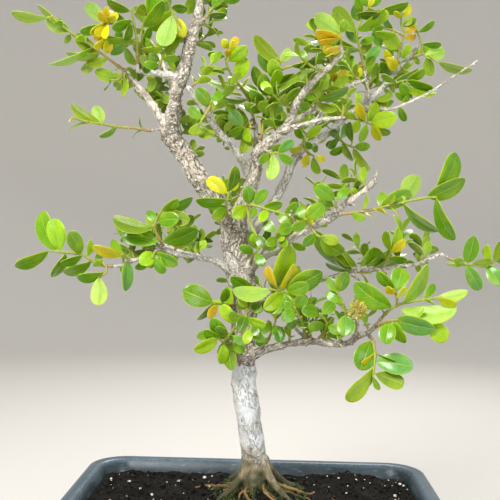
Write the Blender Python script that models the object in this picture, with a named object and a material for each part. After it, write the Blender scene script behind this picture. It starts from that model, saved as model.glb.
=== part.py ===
"""A boxwood bonsai in its rectangular pot. Sizes below are millimetres; the finished objects are metres."""
import math
import random

import bmesh
import bpy
from mathutils import Matrix, Vector
from mathutils.bvhtree import BVHTree

MM = 0.001
GAP = 0.3

# Pot: a rounded rectangle with a flat lip.
RIM_WIDTH = 226.0
RIM_DEPTH = 166.0
RIM_CORNER = 24.0
POT_HEIGHT = 75.0
POT_TAPER = 17.0
LIP_WIDTH = 8.0
LIP_HEIGHT = 9.0
LIP_OVERHANG = 3.5
FOOT_ROUND = 1.5
FLOOR_THICKNESS = 7.0
DRAIN_RADIUS = 8.0
DRAIN_OFFSET = 48.0
SCREEN_SIDE = 28.0
SCREEN_THICKNESS = 1.5
SCREEN_CELLS = 5

# Soil: its level at the wall, and the mounds that rise from it.
SOIL_LEVEL = 67.5
TRUNK_FOOT = (2.0, 20.0)
MOUNDS = ((2.0, 18.0, 9.0, 30.0), (62.0, 58.0, 5.0, 16.0), (-58.0, 30.0, 2.5, 26.0))

# The tree is laid out on the plane through the trunk that faces the viewer. A point there is given as it
# shows from in front: across and down on a sheet of 500 by 500 fine steps, and its depth behind the plane.
STEP = 0.6
AXIS_STEP = 250.0
HORIZON_STEP = 241.0
EYE_DISTANCE = 480.0
PIVOT = Vector((-4.5, 0.0, 228.0))
VIEW_YAW = math.radians(1.9)
VIEW_ROLL = math.radians(-1.0)
SIGHT = Matrix.Rotation(VIEW_YAW, 3, "Z") @ Matrix.Rotation(VIEW_ROLL, 3, "Y")
EYE = PIVOT + SIGHT @ Vector((0.0, -EYE_DISTANCE, 0.0))

# Leaves.
BLADE_THICKNESS = 0.62
BLADE_RATIO = 0.56
BLADE_BOW = 0.07
BLADE_FOLD = 0.22
PETIOLE_HALF = 0.55
LONG_STALK = 5.0
ROOT_SINK = 0.1
BLADE_ROWS = ((0.33, 0.92), (0.78, 0.88))
TWIG_START = 1.0
TWIG_END = 0.65
TWIG_SPACING = 17.0
STOUT_RADIUS = 2.3
TRUNK_SPACING = 14.0
BRANCH_SPACING = 19.0
SPUR_LENGTH = 4.0
ROOT_SLACK = 0.15
SEAT_CLEARANCE = 2.5
SHORTEST_STEP = 1.5
FLAT_ANGLE = math.radians(3.0)
UNDERSIDE_TONES = "op"

# The turns tried on a leaf that would cross another piece: (roll, swing, pitch, size), the gentlest first.
BENDS = [(0.0, 0.0, 0.0, 1.0)]
for pitch in (0.2, -0.2, 0.4, -0.4):
    BENDS += [(0.0, 0.0, pitch, 1.0), (0.3, 0.15, pitch, 1.0), (-0.3, -0.15, pitch, 1.0)]
for pitch in (0.0, 0.5, -0.5, 0.8, -0.8):
    BENDS += [(0.0, 0.3, pitch, 0.85), (0.0, -0.3, pitch, 0.85)]

# Filled in from the routes below: a place on each branch with the branch's radius there.
BRANCH_POINTS = []

# Woody routes: each point is (across, down, depth, radius).
BRANCHES = {
    "trunk": [
        (254, 506, 20, 10.5), (254, 478, 20, 9.6), (253.5, 455, 20, 7.9), (249.5, 425, 19, 7.5),
        (246, 400, 18, 7.8), (244, 375, 17, 7.2), (243, 345, 16, 7.7), (244, 305, 15, 8.3),
        (240, 270, 14, 9.0), (236, 240, 13, 9.4), (231, 222, 12, 7.4), (222, 211, 10, 6.2),
        (200, 180, 6, 6.0), (185, 155, 4, 5.6), (170, 133, 2, 5.8), (174, 111, 1, 4.6),
        (175.5, 96, 0, 3.9), (182, 76, 0, 4.3), (187, 59, 0, 3.7), (190, 43, 0, 3.9),
        (196, 24, -1, 3.3), (199, 8, -2, 2.9), (202, -12, -3, 2.4), (205, -30, -4, 1.8),
    ],
    "fork_left": [
        (172, 138, 2, 4.0), (159.5, 116, 0, 2.7), (148, 99, -1, 2.3), (133, 81, -2, 1.9),
    ],
    "white_left": [(180, 76, 0, 2.2), (160, 74, -1, 2.0), (136, 71, -3, 1.7)],
    "leader_mid": [
        (234, 226, 12, 7.0), (240, 212, 11, 5.4), (248, 195, 10, 4.6), (255, 170, 6, 4.2),
        (259, 152, 2, 3.8), (274, 138, -4, 3.4), (287, 127, -8, 2.8), (296, 105, -14, 2.2),
        (308, 87, -20, 2.0), (320, 75, -25, 1.7), (333, 63, -30, 1.5), (342, 54, -33, 1.2),
    ],
    "leader_mid_upper": [
        (284, 129, -7, 2.2), (298, 119, -3, 1.9), (311, 110, 0, 1.7), (329, 100, 6, 1.6),
        (341, 93, 10, 1.4), (354, 84, 14, 1.2), (366, 79.5, 18, 1.0),
    ],
    "leader_mid_lower": [
        (280, 132, -6, 2.0), (294, 127, -14, 1.7), (308, 123, -20, 1.5), (325, 119, -28, 1.3),
        (345, 117.5, -36, 1.0),
    ],
    "leader_back": [(257, 162, 4, 2.6), (256, 145, 10, 1.9), (256, 124, 14, 1.4)],
    "leader_right": [
        (244, 252, 14, 4.5), (252, 236, 16, 3.6), (261, 220, 18, 3.1), (275, 200, 22, 2.9),
        (286, 179, 26, 2.8), (293, 161, 30, 3.0), (304, 148, 34, 2.8), (316, 141, 38, 2.5),
        (333, 129, 42, 2.4), (345, 117, 46, 2.3), (358, 108, 48, 2.0), (375, 95, 52, 1.9),
        (391, 77, 54, 1.8), (402, 64, 56, 1.7), (417, 46.4, 58, 1.7),
    ],
    "stem_right": [(367, 101, 50, 1.5), (368, 90, 48, 1.2), (366, 80, 46, 1.1)],
    "bare_right": [
        (360, 107, 48, 1.5), (387, 109.5, 42, 1.2), (404, 104.5, 38, 1.1), (425, 95, 33, 1.0),
        (441, 85, 29, 0.9), (462, 71, 24, 0.8), (471, 65.5, 22, 0.8), (478, 60.5, 20, 1.0),
    ],
    "arm_mid": [
        (249, 170, 8, 3.4), (241, 158, 0, 2.4), (229, 143, -7, 2.1), (215, 127, -14, 2.1),
        (207, 112, -20, 1.9), (188, 87, -27, 1.7),
    ],
    "arm_left": [
        (238, 277, 13, 3.4), (228, 269, 8, 2.3), (216, 262, 4, 2.0), (200, 258, 0, 1.8),
        (183, 255, -4, 1.8), (171, 252.5, -6, 1.8), (161, 249, -8, 1.6), (145, 256, -10, 1.4),
        (128, 263, -12, 1.3), (120, 266, -13, 1.2),
    ],
    "arm_right": [
        (245, 272, 11, 3.8), (258, 261, 4, 3.0), (271, 252, -2, 2.7), (283, 244, -8, 2.5),
        (296, 235, -13, 2.4), (308, 229.5, -18, 2.4), (320.5, 223, -22, 2.2), (333, 217, -26, 2.6),
        (343, 205, -29, 1.8), (358, 195, -32, 1.5), (368, 188, -35, 1.5), (377, 181, -38, 1.4),
    ],
    "stub_right": [(370, 187, -36, 1.3), (376, 176, -39, 1.0), (377, 167, -41, 0.8)],
    "stub_brown": [(300, 234, -14, 1.3), (294, 220, -20, 0.9), (291, 210, -24, 0.8)],
    "low_right": [
        (247, 357, 14, 4.4), (258, 352, 10, 3.2), (267, 349, 6, 2.6), (287, 344.5, 0, 2.3),
        (308, 341, -6, 2.2), (325, 343, -12, 2.2), (345, 344, -18, 1.9), (358, 337, -22, 1.6),
        (370, 331, -26, 1.5), (377, 324, -29, 1.2),
    ],
    "low_right_side": [(311, 340, -6, 1.4), (298, 331, 2, 1.1), (290, 322, 5, 0.9)],
    "back_right": [
        (245, 300, 15, 3.6), (262, 300, 22, 2.4), (290, 292, 28, 2.1), (320, 280, 30, 1.8),
        (348, 273, 30, 1.7), (358, 269, 30, 1.8), (366, 268, 30, 2.0), (380, 269, 29, 1.5),
        (396, 266, 28, 1.4), (416, 264, 26, 1.4), (429, 259, 25, 1.2), (441, 254, 24, 1.2),
    ],
    "back_right_stub": [(350, 273, 30, 1.2), (360, 281, 27, 1.0)],
    "back_low": [(246, 322, 16, 3.0), (256, 312, 36, 1.9), (268, 304, 54, 1.5), (276, 298, 66, 1.2)],
    "back_left": [
        (238, 272, 14, 3.4), (220, 262, 24, 1.9), (196, 256, 32, 1.6), (172, 248, 42, 1.4),
        (158, 240, 50, 1.2),
    ],
    "back_top": [(240, 236, 13, 3.6), (246, 222, 34, 1.9), (250, 206, 54, 1.5), (252, 192, 66, 1.2)],
    "back_high": [(297, 157, 31, 2.2), (306, 138, 44, 1.6), (318, 118, 58, 1.3), (326, 100, 68, 1.1)],
    "back_crown": [(176, 98, 0, 2.8), (170, 80, 20, 1.8), (160, 58, 38, 1.4), (152, 42, 50, 1.1)],
    "flower_stalk": [(350, 342, -20, 1.3), (357, 330, -34, 1.0), (358, 318, -41, 0.9)],
}

# Surface roots, as points (x, y, z, radius) that leave the foot of the trunk and dive into the soil.
ROOTS = {
    "root_left": [
        (-3, 18, 93, 3.9), (-7, 14, 84, 3.1), (-12, 10, 78, 2.3), (-20, 4, 71, 1.7), (-28, -3, 64, 1.2),
    ],
    "root_right": [
        (5, 19, 93, 3.9), (9, 15, 84, 3.0), (14, 9, 78, 2.3), (23, 1, 71, 1.8), (32, -7, 64, 1.2),
    ],
    "root_front": [(0, 16, 86, 3.4), (-1, 9, 77, 2.0), (1, 0, 73, 1.5), (5, -10, 66, 1.1)],
    "root_back": [(-1, 24, 90, 3.8), (-8, 32, 80, 2.8), (-16, 42, 72, 2.0), (-22, 50, 65, 1.4)],
    "root_far": [(6, 24, 88, 3.6), (15, 29, 78, 2.4), (26, 33, 71, 1.7), (36, 36, 65, 1.2)],
}

# Leafy sprays. A twig is a route of (across, down, depth) points: the first starts on a branch and the others
# on an earlier twig. A leaf is (base across, base down, tip across, tip down, width, lean, tone): the lean is
# how much further the tip lies than the base, and the tones are (g)reen, (l)ime, (d)ark, (t)eal, (y)ellow,
# (r)usset young, (o)live underside and (p)ale underside.
SPRAYS = {
    "spray_far_left_top": (
        [[(133, 81, -2), (127, 72, -5), (118, 66, -7), (104, 55, -11), (88, 44, -15), (71, 33, -19),
          (60, 24, -22), (50, 17, -25)],
         [(127, 72, -5), (119, 79, -9), (111, 80, -11)]],
        [(46, 18, 11, 12, 9, -6, "l"), (54, 17, 38, 6, 6, 7, "l"), (71, 31, 48, 18, 13, 5, "o"),
         (71, 34, 65, 43, 6, 4, "o"), (103, 52, 76, 34, 10, -4, "o"), (90, 49, 49, 64, 7, -8, "l"),
         (97, 54, 66, 60, 6, 7, "l"), (98, 56, 76, 66, 8, 12, "p"), (108, 59, 87, 64, 10, -6, "o"),
         (119, 79, 95, 71, 12, -4, "o"), (112, 80, 90, 85, 8, 3, "o"), (124, 76, 122, 97, 8, -4, "o")],
    ),
    "spray_left_top": (
        [[(138, 71, -3), (137, 56, -8), (137, 41, -12), (133, 20, -17), (131, 8, -20)],
         [(134, 27, -15), (120, 25, -19), (107, 23, -23)],
         [(136, 44, -11), (120, 43, -16), (107, 39, -21)]],
        [(131, 12, 107, 0, 9, -4, "g"), (128, 24, 114, 13, 9, 6, "d"), (133, 40, 99, 36, 6, -9, "g"),
         (128, 44, 110, 52, 8, 3, "t"), (107, 22, 86, 4, 12, -7, "p"), (104, 25, 80, 31, 8, -6, "g"),
         (108, 24, 100, 11, 7, -10, "r"), (112, 24, 113, 9, 7, 4, "r"), (107, 39, 93, 28, 7, -6, "r"),
         (107, 40, 94, 46, 7, -9, "y"), (113, 41, 106, 53, 7, 4, "r"), (122, 42, 118, 29, 9, 6, "g")],
    ),
    "spray_left_crown": (
        [[(147, 72, -2), (144, 55, -5), (142, 30, -8), (148, 16, -12)]],
        [(149, 15, 138, 7, 15, -9, "o"), (143, 27, 163, 1, 12, -6, "g"), (145, 28, 183, 8, 7, 5, "l"),
         (141, 49, 162, 48, 6, -5, "l"), (149, 15, 152, -8, 11, 6, "g")],
    ),
    "spray_crown_pale": (
        [[(190, 43, 0), (181, 27, -7), (174, 14, -9), (168, 3, -9)]],
        [(172, 16, 162, 46, 18, -7, "p"), (175, 16, 184, 37, 12, 6, "y"), (171, 8, 187, 8, 9, -7, "d"),
         (168, 4, 155, -8, 9, 4, "g")],
    ),
    "spray_white_mid": (
        [[(158, 74, -1), (160, 64, -5), (164, 54, -7)]],
        [(165, 54, 185, 36, 12, 6, "o"), (162, 60, 178, 57, 8, -5, "g"), (161, 62, 149, 54, 9, -4, "d"),
         (160, 66, 144, 64, 9, -7, "g")],
    ),
    "spray_crown_right": (
        [[(197, 26, -1), (207, 17, -5), (213, 8, -7), (223, 1, -9)]],
        [(212, 10, 222, -8, 10, -5, "g"), (222, 2, 242, -5, 9, 3, "g"), (208, 16, 226, 14, 7, -6, "d")],
    ),
    "spray_left_thin": (
        [[(163, 129, 1), (150, 130, -4), (135, 128, -8), (118, 127, -12), (102, 124, -16), (88, 122, -20),
          (74, 118, -24)]],
        [(102, 123, 71, 104.5, 9, -6, "o"), (103, 123, 95, 106, 12, 5, "p"),
         (118, 128, 99, 136, 6, -6, "g")],
    ),
    "spray_arm_mid": (
        [[(209, 116, -21), (210, 109, -26), (211, 102, -29)],
         [(210, 110, -25), (203, 118, -29), (200, 124, -31)]],
        [(211, 108, 197, 88, 13, -6, "g"), (202, 120, 189, 108, 10, 4, "g"),
         (201, 122, 190, 134, 8, -4, "o"), (211, 103, 222, 92, 9, 4, "g")],
    ),
    "spray_centre_top_left": (
        [[(256, 130, 13), (253, 116, 9), (248, 99, 6), (239, 85, 2), (229, 70, -3), (226, 58, -6),
          (229, 47, -8)],
         [(253, 118, 9), (248, 124, 5), (244, 128, 2)]],
        [(229, 50, 223, 39, 8, -5, "y"), (229, 49, 238, 38, 8, 3, "r"), (228, 62, 247, 47, 12, -5, "l"),
         (226, 57, 208, 53, 6, -5, "g"), (228, 69, 200, 68, 6, 4, "o"), (236, 82, 246, 57, 15, -6, "l"),
         (239, 86, 204, 78, 8, -5, "o"), (248, 101, 221, 96, 6, 5, "o"), (243, 128, 230, 111, 14, -5, "t"),
         (245, 128, 228, 134, 8, -6, "g")],
    ),
    "spray_centre_top": (
        [[(258, 150, 8), (262, 134, 2), (264, 112, 3), (268, 92, 1), (274, 78, -2), (280, 64, -5)],
         [(277, 72, -3), (285, 68, -6), (292, 66, -8)], [(267, 96, 2), (276, 101, -4), (283, 103, -7)]],
        [(280, 62, 254, 36, 10, -6, "o"), (275, 74, 258, 54, 9, 5, "g"),
         (275, 79, 273, 59, 14, -9, "l"), (281, 63, 289, 48, 10, 5, "p"), (290, 66, 321, 57, 6, -5, "g"),
         (292, 67, 311, 64, 6, 5, "l"), (274, 81, 294, 76, 8, 7, "g"), (283, 103, 301, 89, 10, -4, "g"),
         (265, 103, 250, 90, 10, -7, "g"), (266, 100, 278, 88, 10, 8, "g"),
         (264, 110, 250, 108, 9, -8, "g"), (263, 122, 283, 122, 8, -6, "g")],
    ),
    "spray_arm_tip": (
        [[(342, 54, -33), (341, 45, -36), (341, 34, -38)]],
        [(341, 34, 315, 16, 15, -5, "p"), (340, 38, 316, 31, 8, -8, "r"), (340, 36, 331, 25, 7, 5, "r"),
         (341, 47, 325, 51, 7, -5, "r"), (341, 34, 346, 20, 9, -5, "g")],
    ),
    "spray_right_stem": (
        [[(366, 80, 46), (364, 68, 43), (361, 54, 41), (358, 42, 37), (357, 32, 34), (362, 18, 31),
          (368, 8, 28)],
         [(363, 66, 43), (356, 67, 36), (351, 66, 32)]],
        [(360, 52, 328, 38, 12, -8, "g"), (357, 33, 334, 8, 17, -5, "o"), (360, 44, 374, 38, 9, -5, "g"),
         (361, 22, 351, 4, 10, 6, "d"), (363, 18, 380, 13, 9, -5, "d"), (368, 8, 358, -8, 10, -4, "g"),
         (368, 8, 380, -6, 9, 4, "g"), (351, 66, 338, 60, 12, -7, "t"), (352, 67, 344, 78, 9, -5, "y"),
         (355, 67, 350, 56, 8, 5, "g")],
    ),
    "spray_arm_upper_yellow": (
        [[(331, 99, 7), (333, 92, 1), (338, 84, -3)]],
        [(338, 84, 347, 70, 11, -4, "y"), (338, 85, 331, 72, 8, -5, "r"), (334, 90, 322, 84, 8, 5, "g")],
    ),
    "spray_arm_upper": (
        [[(312, 110, 0), (313, 104, -6), (317, 100, -9)]],
        [(315, 103, 323, 80, 13, -5, "l"), (317, 101, 348, 87, 7, -6, "g"),
         (313, 105, 297, 107, 10, -6, "g"), (316, 101, 303, 92, 8, 4, "g"),
         (316, 103, 338, 109, 7, -7, "o")],
    ),
    "spray_top_right": (
        [[(392, 76, 54), (397, 62, 48), (400, 48, 44), (404, 34, 40), (401, 24, 38), (402, 14, 36)],
         [(403, 35, 40), (392, 30, 38), (381, 26, 36), (377, 11, 34)]],
        [(380, 26, 384, 9, 12, -6, "l"), (377, 11, 409, 7, 7, -7, "g"), (395, 31, 383, 18, 8, 6, "t"),
         (402, 20, 396, 7, 7, -6, "y"), (402, 18, 410, 5, 7, 4, "y"), (402, 27, 416, 18, 7, -6, "g"),
         (403, 33, 416, 27, 7, -5, "r"), (403, 37, 416, 37, 7, 4, "r"), (400, 50, 385, 34, 17, -6, "l"),
         (396, 66, 386, 58, 9, -6, "y"), (385, 27, 372, 30, 8, -5, "g")],
    ),
    "spray_right_round": (
        [[(406, 60, 56), (414, 57, 49), (424, 54, 45), (431, 57, 43), (437, 62, 41)],
         [(423, 54, 45), (421, 42, 42), (417, 31, 40)]],
        [(425, 56, 445, 52, 15, -6, "p"), (427, 55, 431, 76, 13, 5, "o"), (437, 62, 472, 70, 8, -5, "g"),
         (421, 44, 441, 44, 6, -7, "g"), (418, 33, 434, 21, 8, -5, "g"), (418, 32, 410, 19, 8, 4, "l")],
    ),
    "spray_right_under": (
        [[(386, 84, 53), (396, 83, 47), (406, 80, 44)]],
        [(406, 80, 425, 70, 9, -5, "g"), (406, 81, 433, 88, 10, -5, "g"), (398, 83, 412, 94, 8, 5, "g"),
         (396, 82, 382, 74, 8, -5, "g")],
    ),
    "spray_bright": (
        [[(347, 116, 46), (356, 119, 40), (366, 122, 36), (373, 125, 33)]],
        [(372, 122, 397, 116, 18, -5, "l"), (366, 121, 358, 103, 10, -6, "y"),
         (367, 121, 377, 103, 11, 5, "l"), (361, 121, 349, 132, 10, -6, "l"),
         (371, 125, 381, 140, 10, -6, "y"), (367, 123, 360, 142, 9, 4, "l"),
         (373, 126, 390, 134, 7, 4, "g"), (357, 119, 350, 108, 8, 6, "l")],
    ),
    "spray_mid_pale": (
        [[(264, 148, 0), (270, 153, -7), (277, 153, -10)]],
        [(277, 152, 293, 140, 9, -5, "t"), (277, 154, 293, 162, 8, -5, "g"),
         (270, 153, 259, 162, 8, -6, "g"), (273, 154, 271, 180, 13, -4, "p")],
    ),
    "spray_below_right": (
        [[(306, 148, 34), (308, 153, 25), (314, 156, 20)], [(308, 153, 24), (303, 146, 18), (305, 138, 15)]],
        [(308, 155, 303, 167, 9, -5, "y"), (314, 156, 325, 160, 8, 4, "y"),
         (313, 156, 318, 174, 9, -5, "o"), (305, 139, 321, 126, 10, -5, "l"),
         (304, 140, 296, 128, 8, 5, "g"), (304, 142, 313, 148, 7, -6, "g")],
    ),
    "spray_under_bright": (
        [[(336, 127, 42), (338, 137, 36), (345, 144, 32), (353, 147, 29)]],
        [(341, 142, 352, 161, 8, -5, "o"), (352, 148, 369, 171, 8, -5, "o"),
         (353, 147, 370, 146, 10, -5, "g"), (338, 138, 328, 148, 8, -5, "d"),
         (340, 140, 347, 124, 9, 4, "t")],
    ),
    "spray_trunk_left": (
        [[(233, 224, 12), (226, 214, -6), (227, 204, -12), (229, 192, -15)]],
        [(228, 194, 207, 179, 14, -5, "y"), (229, 193, 235, 166, 7, -5, "d"),
         (229, 192, 240, 180, 7, 4, "y"), (228, 200, 196, 200, 7, -5, "g"),
         (227, 207, 212, 218, 9, -5, "g"), (227, 206, 208, 208, 8, 5, "g")],
    ),
    "spray_trunk_front": (
        [[(241, 212, 11), (245, 207, -3), (252, 205, -9), (270, 210, -13), (287, 215, -16)]],
        [(249, 205, 247, 186, 13, -5, "g"), (248, 206, 232, 217, 14, -7, "l"),
         (254, 205, 267, 190, 11, -4, "g"), (262, 207, 282, 203, 8, -6, "g"),
         (284, 214, 298, 203, 8, -5, "g"), (268, 210, 260, 222, 9, -6, "l"),
         (278, 213, 288, 226, 9, -4, "g")],
    ),
    "spray_mid_left": (
        [[(166, 251, -7), (160, 240, -14), (155, 228, -18), (158, 216, -21), (164, 208, -23)]],
        [(154, 229, 113, 218, 10, -6, "o"), (158, 241, 122, 231, 20, -4, "g"),
         (161, 212, 178, 199, 8, -5, "g"), (164, 208, 195, 201, 8, 4, "g"),
         (162, 211, 190, 210, 7, -7, "o"), (157, 221, 182, 219, 15, -6, "g"),
         (161, 243, 197, 229, 18, -6, "g"), (156, 224, 148, 211, 9, 5, "g")],
    ),
    "spray_mid_left_low": (
        [[(159, 250, -8), (155, 252, -15), (152, 258, -19)]],
        [(154, 252, 140, 264, 15, -7, "l"), (152, 259, 136, 269, 8, 4, "g"),
         (155, 256, 153, 280, 11, -5, "g"), (156, 253, 175, 266, 11, -6, "g")],
    ),
    "spray_far_left": (
        [[(120, 266, -13), (108, 266, -15), (95, 263, -17), (83, 255, -19), (62, 252, -22), (50, 251, -24)],
         [(113, 267, -14), (106, 273, -18), (98, 276, -20)]],
        [(61, 251, 53, 219, 17, -5, "l"), (56, 251, 52, 209, 6, 6, "g"), (82, 255, 68, 230, 15, -6, "g"),
         (87, 257, 91, 240, 7, 5, "l"), (48, 251, 15, 266, 9, -5, "g"),
         (83, 257, 60, 263, 8, -6, "g"), (92, 262, 64, 268, 8, 5, "g"), (66, 253, 53, 277, 8, 7, "g"),
         (94, 262, 104, 250, 8, 5, "d"), (106, 273, 77, 277, 7, -5, "g"), (99, 277, 98, 305, 16, -5, "p")],
    ),
    "spray_left_hanging": (
        [[(130, 262, -12), (127, 258, -18), (122, 254, -21)]],
        [(125, 256, 93, 246, 10, -6, "y"), (127, 262, 125, 291, 13, -5, "g"),
         (123, 254, 112, 240, 9, 5, "g")],
    ),
    "spray_lone_left": (
        [[(240, 306, 15), (228, 305, 0), (214, 303, -7)]],
        [(213, 303, 183, 290, 22, -5, "g"), (222, 304, 226, 288, 9, -6, "g"),
         (218, 304, 208, 318, 8, -6, "r"), (214, 304, 198, 320, 7, 5, "g")],
    ),
    "spray_low_left": (
        [[(240, 345, 16), (231, 344, 1), (223, 342, -6), (215, 334, -11)]],
        [(226, 339, 212, 318, 13, -7, "g"), (215, 333, 197, 337, 10, 4, "g"),
         (218, 339, 194, 350, 12, -6, "l"), (224, 344, 222, 364, 11, 4, "l"),
         (228, 344, 231, 370, 14, -6, "o"), (230, 343, 245, 351, 9, -8, "g"),
         (225, 342, 233, 329, 9, -6, "g")],
    ),
    "spray_centre_front": (
        [[(244, 290, 15), (252, 291, -2), (262, 289, -9), (274, 290, -15), (286, 292, -20)]],
        [(254, 290, 231, 277, 12, -6, "g"), (272, 290, 233, 292, 13, -9, "p"),
         (256, 292, 240, 308, 10, 4, "g"), (274, 289, 290, 245, 14, -4, "l"),
         (278, 289, 278, 262, 9, -6, "r"), (281, 289, 294, 264, 9, -7, "y"),
         (286, 291, 322, 272, 18, -5, "g"), (286, 293, 312, 289, 14, -7, "g"),
         (280, 292, 271, 314, 17, -7, "g"), (283, 293, 292, 318, 12, -3, "g")],
    ),
    "spray_centre_low": (
        [[(262, 351, 8), (268, 340, 0), (274, 326, -6), (277, 312, -9)]],
        [(277, 313, 262, 302, 12, -5, "g"), (277, 312, 290, 302, 12, 4, "g"),
         (275, 324, 281, 342, 13, -7, "d"), (274, 327, 258, 330, 11, -5, "g"),
         (269, 338, 256, 344, 9, 5, "g")],
    ),
    "spray_upper_dark": (
        [[(249, 268, 9), (253, 256, -4), (260, 247, -9)]],
        [(260, 247, 268, 229, 9, -5, "d"), (257, 250, 250, 232, 9, 4, "d"),
         (254, 254, 240, 246, 8, -6, "g"), (261, 248, 277, 246, 9, -5, "g"),
         (256, 252, 264, 266, 10, -6, "g")],
    ),
    "spray_arm_right_node": (
        [[(334, 216, -27), (335, 208, -33), (336, 199, -36)]],
        [(336, 201, 316, 186, 14, -5, "g"), (335, 207, 321, 201, 9, 4, "g"),
         (336, 200, 348, 188, 9, 4, "g")],
    ),
    "spray_arm_right_mid": (
        [[(312, 228, -19), (311, 227, -30), (306, 219, -35)],
         [(311, 227, -29), (316, 234, -32), (320, 237, -34)]],
        [(306, 220, 323, 205, 14, -6, "g"), (306, 219, 298, 208, 9, 4, "g"),
         (308, 223, 291, 228, 9, -6, "g"), (319, 236, 339, 241, 10, -5, "o"),
         (319, 237, 345, 255, 10, 4, "g"), (316, 234, 303, 246, 10, -5, "d")],
    ),
    "spray_arm_right_root": (
        [[(283, 244, -8), (279, 238, -15), (276, 233, -19)]],
        [(276, 233, 293, 226, 12, -5, "g"), (276, 232, 265, 222, 11, 4, "g"),
         (278, 237, 266, 245, 9, -7, "g"), (279, 239, 292, 248, 9, -7, "g")],
    ),
    "spray_right_long": (
        [[(333, 217, -26), (342, 214, -32), (350, 213, -34), (366, 211, -37), (379, 208, -39),
          (400, 203, -43),
          (424, 198, -47), (437, 197, -49)]],
        [(350, 213, 365, 219, 7, -5, "g"), (380, 208, 410, 191, 15, -5, "g"),
         (379, 208, 383, 192, 9, 5, "g"), (403, 202, 414, 174, 18, -6, "p"),
         (426, 198, 465, 179, 17, -5, "g"), (436, 197, 457, 154, 17, 5, "g"),
         (402, 203, 439, 231, 9, -6, "g"), (436, 198, 447, 242, 7, -5, "g")],
    ),
    "spray_back_right_young": (
        [[(382, 269, 29), (386, 260, 22), (391, 253, 18)]],
        [(390, 253, 387, 231, 9, -5, "l"), (391, 253, 399, 228, 10, 4, "l"),
         (391, 254, 405, 240, 9, -6, "y"), (387, 259, 374, 248, 8, -5, "g"),
         (388, 258, 407, 260, 7, -6, "g")],
    ),
    "spray_far_right": (
        [[(441, 254, 24), (452, 260, 18), (466, 264, 14), (483, 265.5, 10), (495, 262, 8)]],
        [(467, 263, 474, 236, 16, -5, "g"), (493, 262, 501, 242, 9, -5, "o"),
         (490, 263, 486, 245, 8, 5, "l"), (464, 264, 447, 264, 6, -6, "o"),
         (472, 264, 490, 257, 6, -7, "o"), (466, 265, 480, 290, 15, -5, "t"),
         (487, 265, 501, 286, 15, -5, "t"), (495, 262, 512, 256, 9, 4, "g")],
    ),
    "spray_low_right_stalk": (
        [[(303, 342, -4), (305, 332, -17), (300, 318, -24), (295, 308, -27)]],
        [(296, 310, 282, 320, 13, -5, "g"), (295, 308, 305, 296, 12, -5, "g"),
         (299, 319, 287, 328, 8, 4, "d"), (296, 312, 284, 304, 9, 5, "g")],
    ),
    "spray_low_right_fork": (
        [[(316, 342, -9), (325, 331, -17), (327, 323, -21), (321, 315, -24)]],
        [(321, 315, 300, 306, 13, -5, "g"), (322, 315, 333, 302, 13, 4, "g"),
         (326, 325, 308, 326, 10, -6, "g"), (327, 325, 341, 333, 9, -5, "g")],
    ),
    "spray_low_right_tall": (
        [[(337, 344, -16), (343, 332, -28), (346, 314, -35), (343, 304, -38), (337, 292, -40)]],
        [(346, 314, 345, 336, 20, -9, "t"), (338, 293, 347, 272, 13, -4, "d"),
         (342, 302, 326, 292, 10, 4, "g"), (338, 293, 327, 278, 9, 4, "g")],
    ),
    "spray_right_upper": (
        [[(377, 324, -29), (385, 314, -36), (392, 308, -41), (401, 304, -44), (420, 300, -47),
          (436, 298, -49)],
         [(397, 306, -43), (397, 297, -47), (394, 289, -50)]],
        [(392, 307, 354, 288, 16, -5, "g"), (396, 292, 402, 268, 17, 5, "g"),
         (394, 290, 378, 271, 9, -5, "g"), (396, 296, 388, 283, 8, -7, "y"),
         (397, 299, 406, 284, 8, -8, "y"), (403, 303, 428, 265, 12, 5, "l"),
         (436, 298, 468, 291, 11, -4, "p"), (436, 299, 457, 304, 8, -7, "y")],
    ),
    "spray_right_lower": (
        [[(373, 328, -27), (382, 324, -39), (394, 320, -46), (412, 320, -50), (427, 322, -52)]],
        [(402, 310, 457, 309, 17, -8, "p"), (394, 318, 437, 320, 17, -4, "g"),
         (427, 322, 447, 341, 20, -4, "l"),
         (390, 321, 386, 344, 16, -6, "g"), (394, 320, 405, 343, 11, 4, "g")],
    ),
    "spray_right_hanging": (
        [[(367, 333, -25), (373, 341, -35), (375, 356, -39), (373, 377, -42)]],
        [(371, 340, 360, 370, 22, -6, "g"), (376, 361, 413, 367, 20, -5, "t"),
         (375, 373, 404, 385, 15, -4, "o"),
         (374, 367, 346, 400, 11, -5, "l"), (373, 376, 379, 390, 6, -4, "o"),
         (373, 374, 366, 386, 6, 4, "o")],
    ),
}

# Sprays whose leaves follow the growth rule: each twig runs on from the end of a branch.
GROWN_SPRAYS = {
    "spray_crown_tip": ([(205, -30, -4), (206, -42, -6), (208, -56, -8), (207, -68, -8)], 8.5, 15.5),
    "spray_crown_left": ([(201, -4, -2), (190, -16, -10), (178, -26, -16), (168, -38, -20)], 9.0, 15.0),
    "spray_crown_front": ([(203, -16, -3), (212, -22, -16), (224, -30, -26), (236, -36, -32)], 9.0, 15.0),
    "spray_crown_back": ([(200, 4, -2), (198, -8, 16), (194, -20, 30), (192, -32, 40)], 9.0, 15.0),
    "spray_back_low": ([(276, 298, 66), (282, 292, 76), (290, 286, 84)], 8.0, 16.0),
    "spray_back_left": ([(158, 240, 50), (150, 236, 56), (140, 234, 62)], 8.0, 16.0),
    "spray_back_top": ([(252, 192, 66), (253, 184, 74), (250, 176, 82)], 8.0, 15.0),
    "spray_back_high": ([(326, 100, 68), (330, 90, 74), (336, 78, 78)], 8.0, 15.0),
    "spray_back_crown": ([(152, 42, 50), (148, 34, 56), (146, 22, 62)], 8.0, 15.0),
}
FLOWER_BASE = (358, 318, -41)
FLOWER_TOP = (357, 305, -45)


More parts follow.
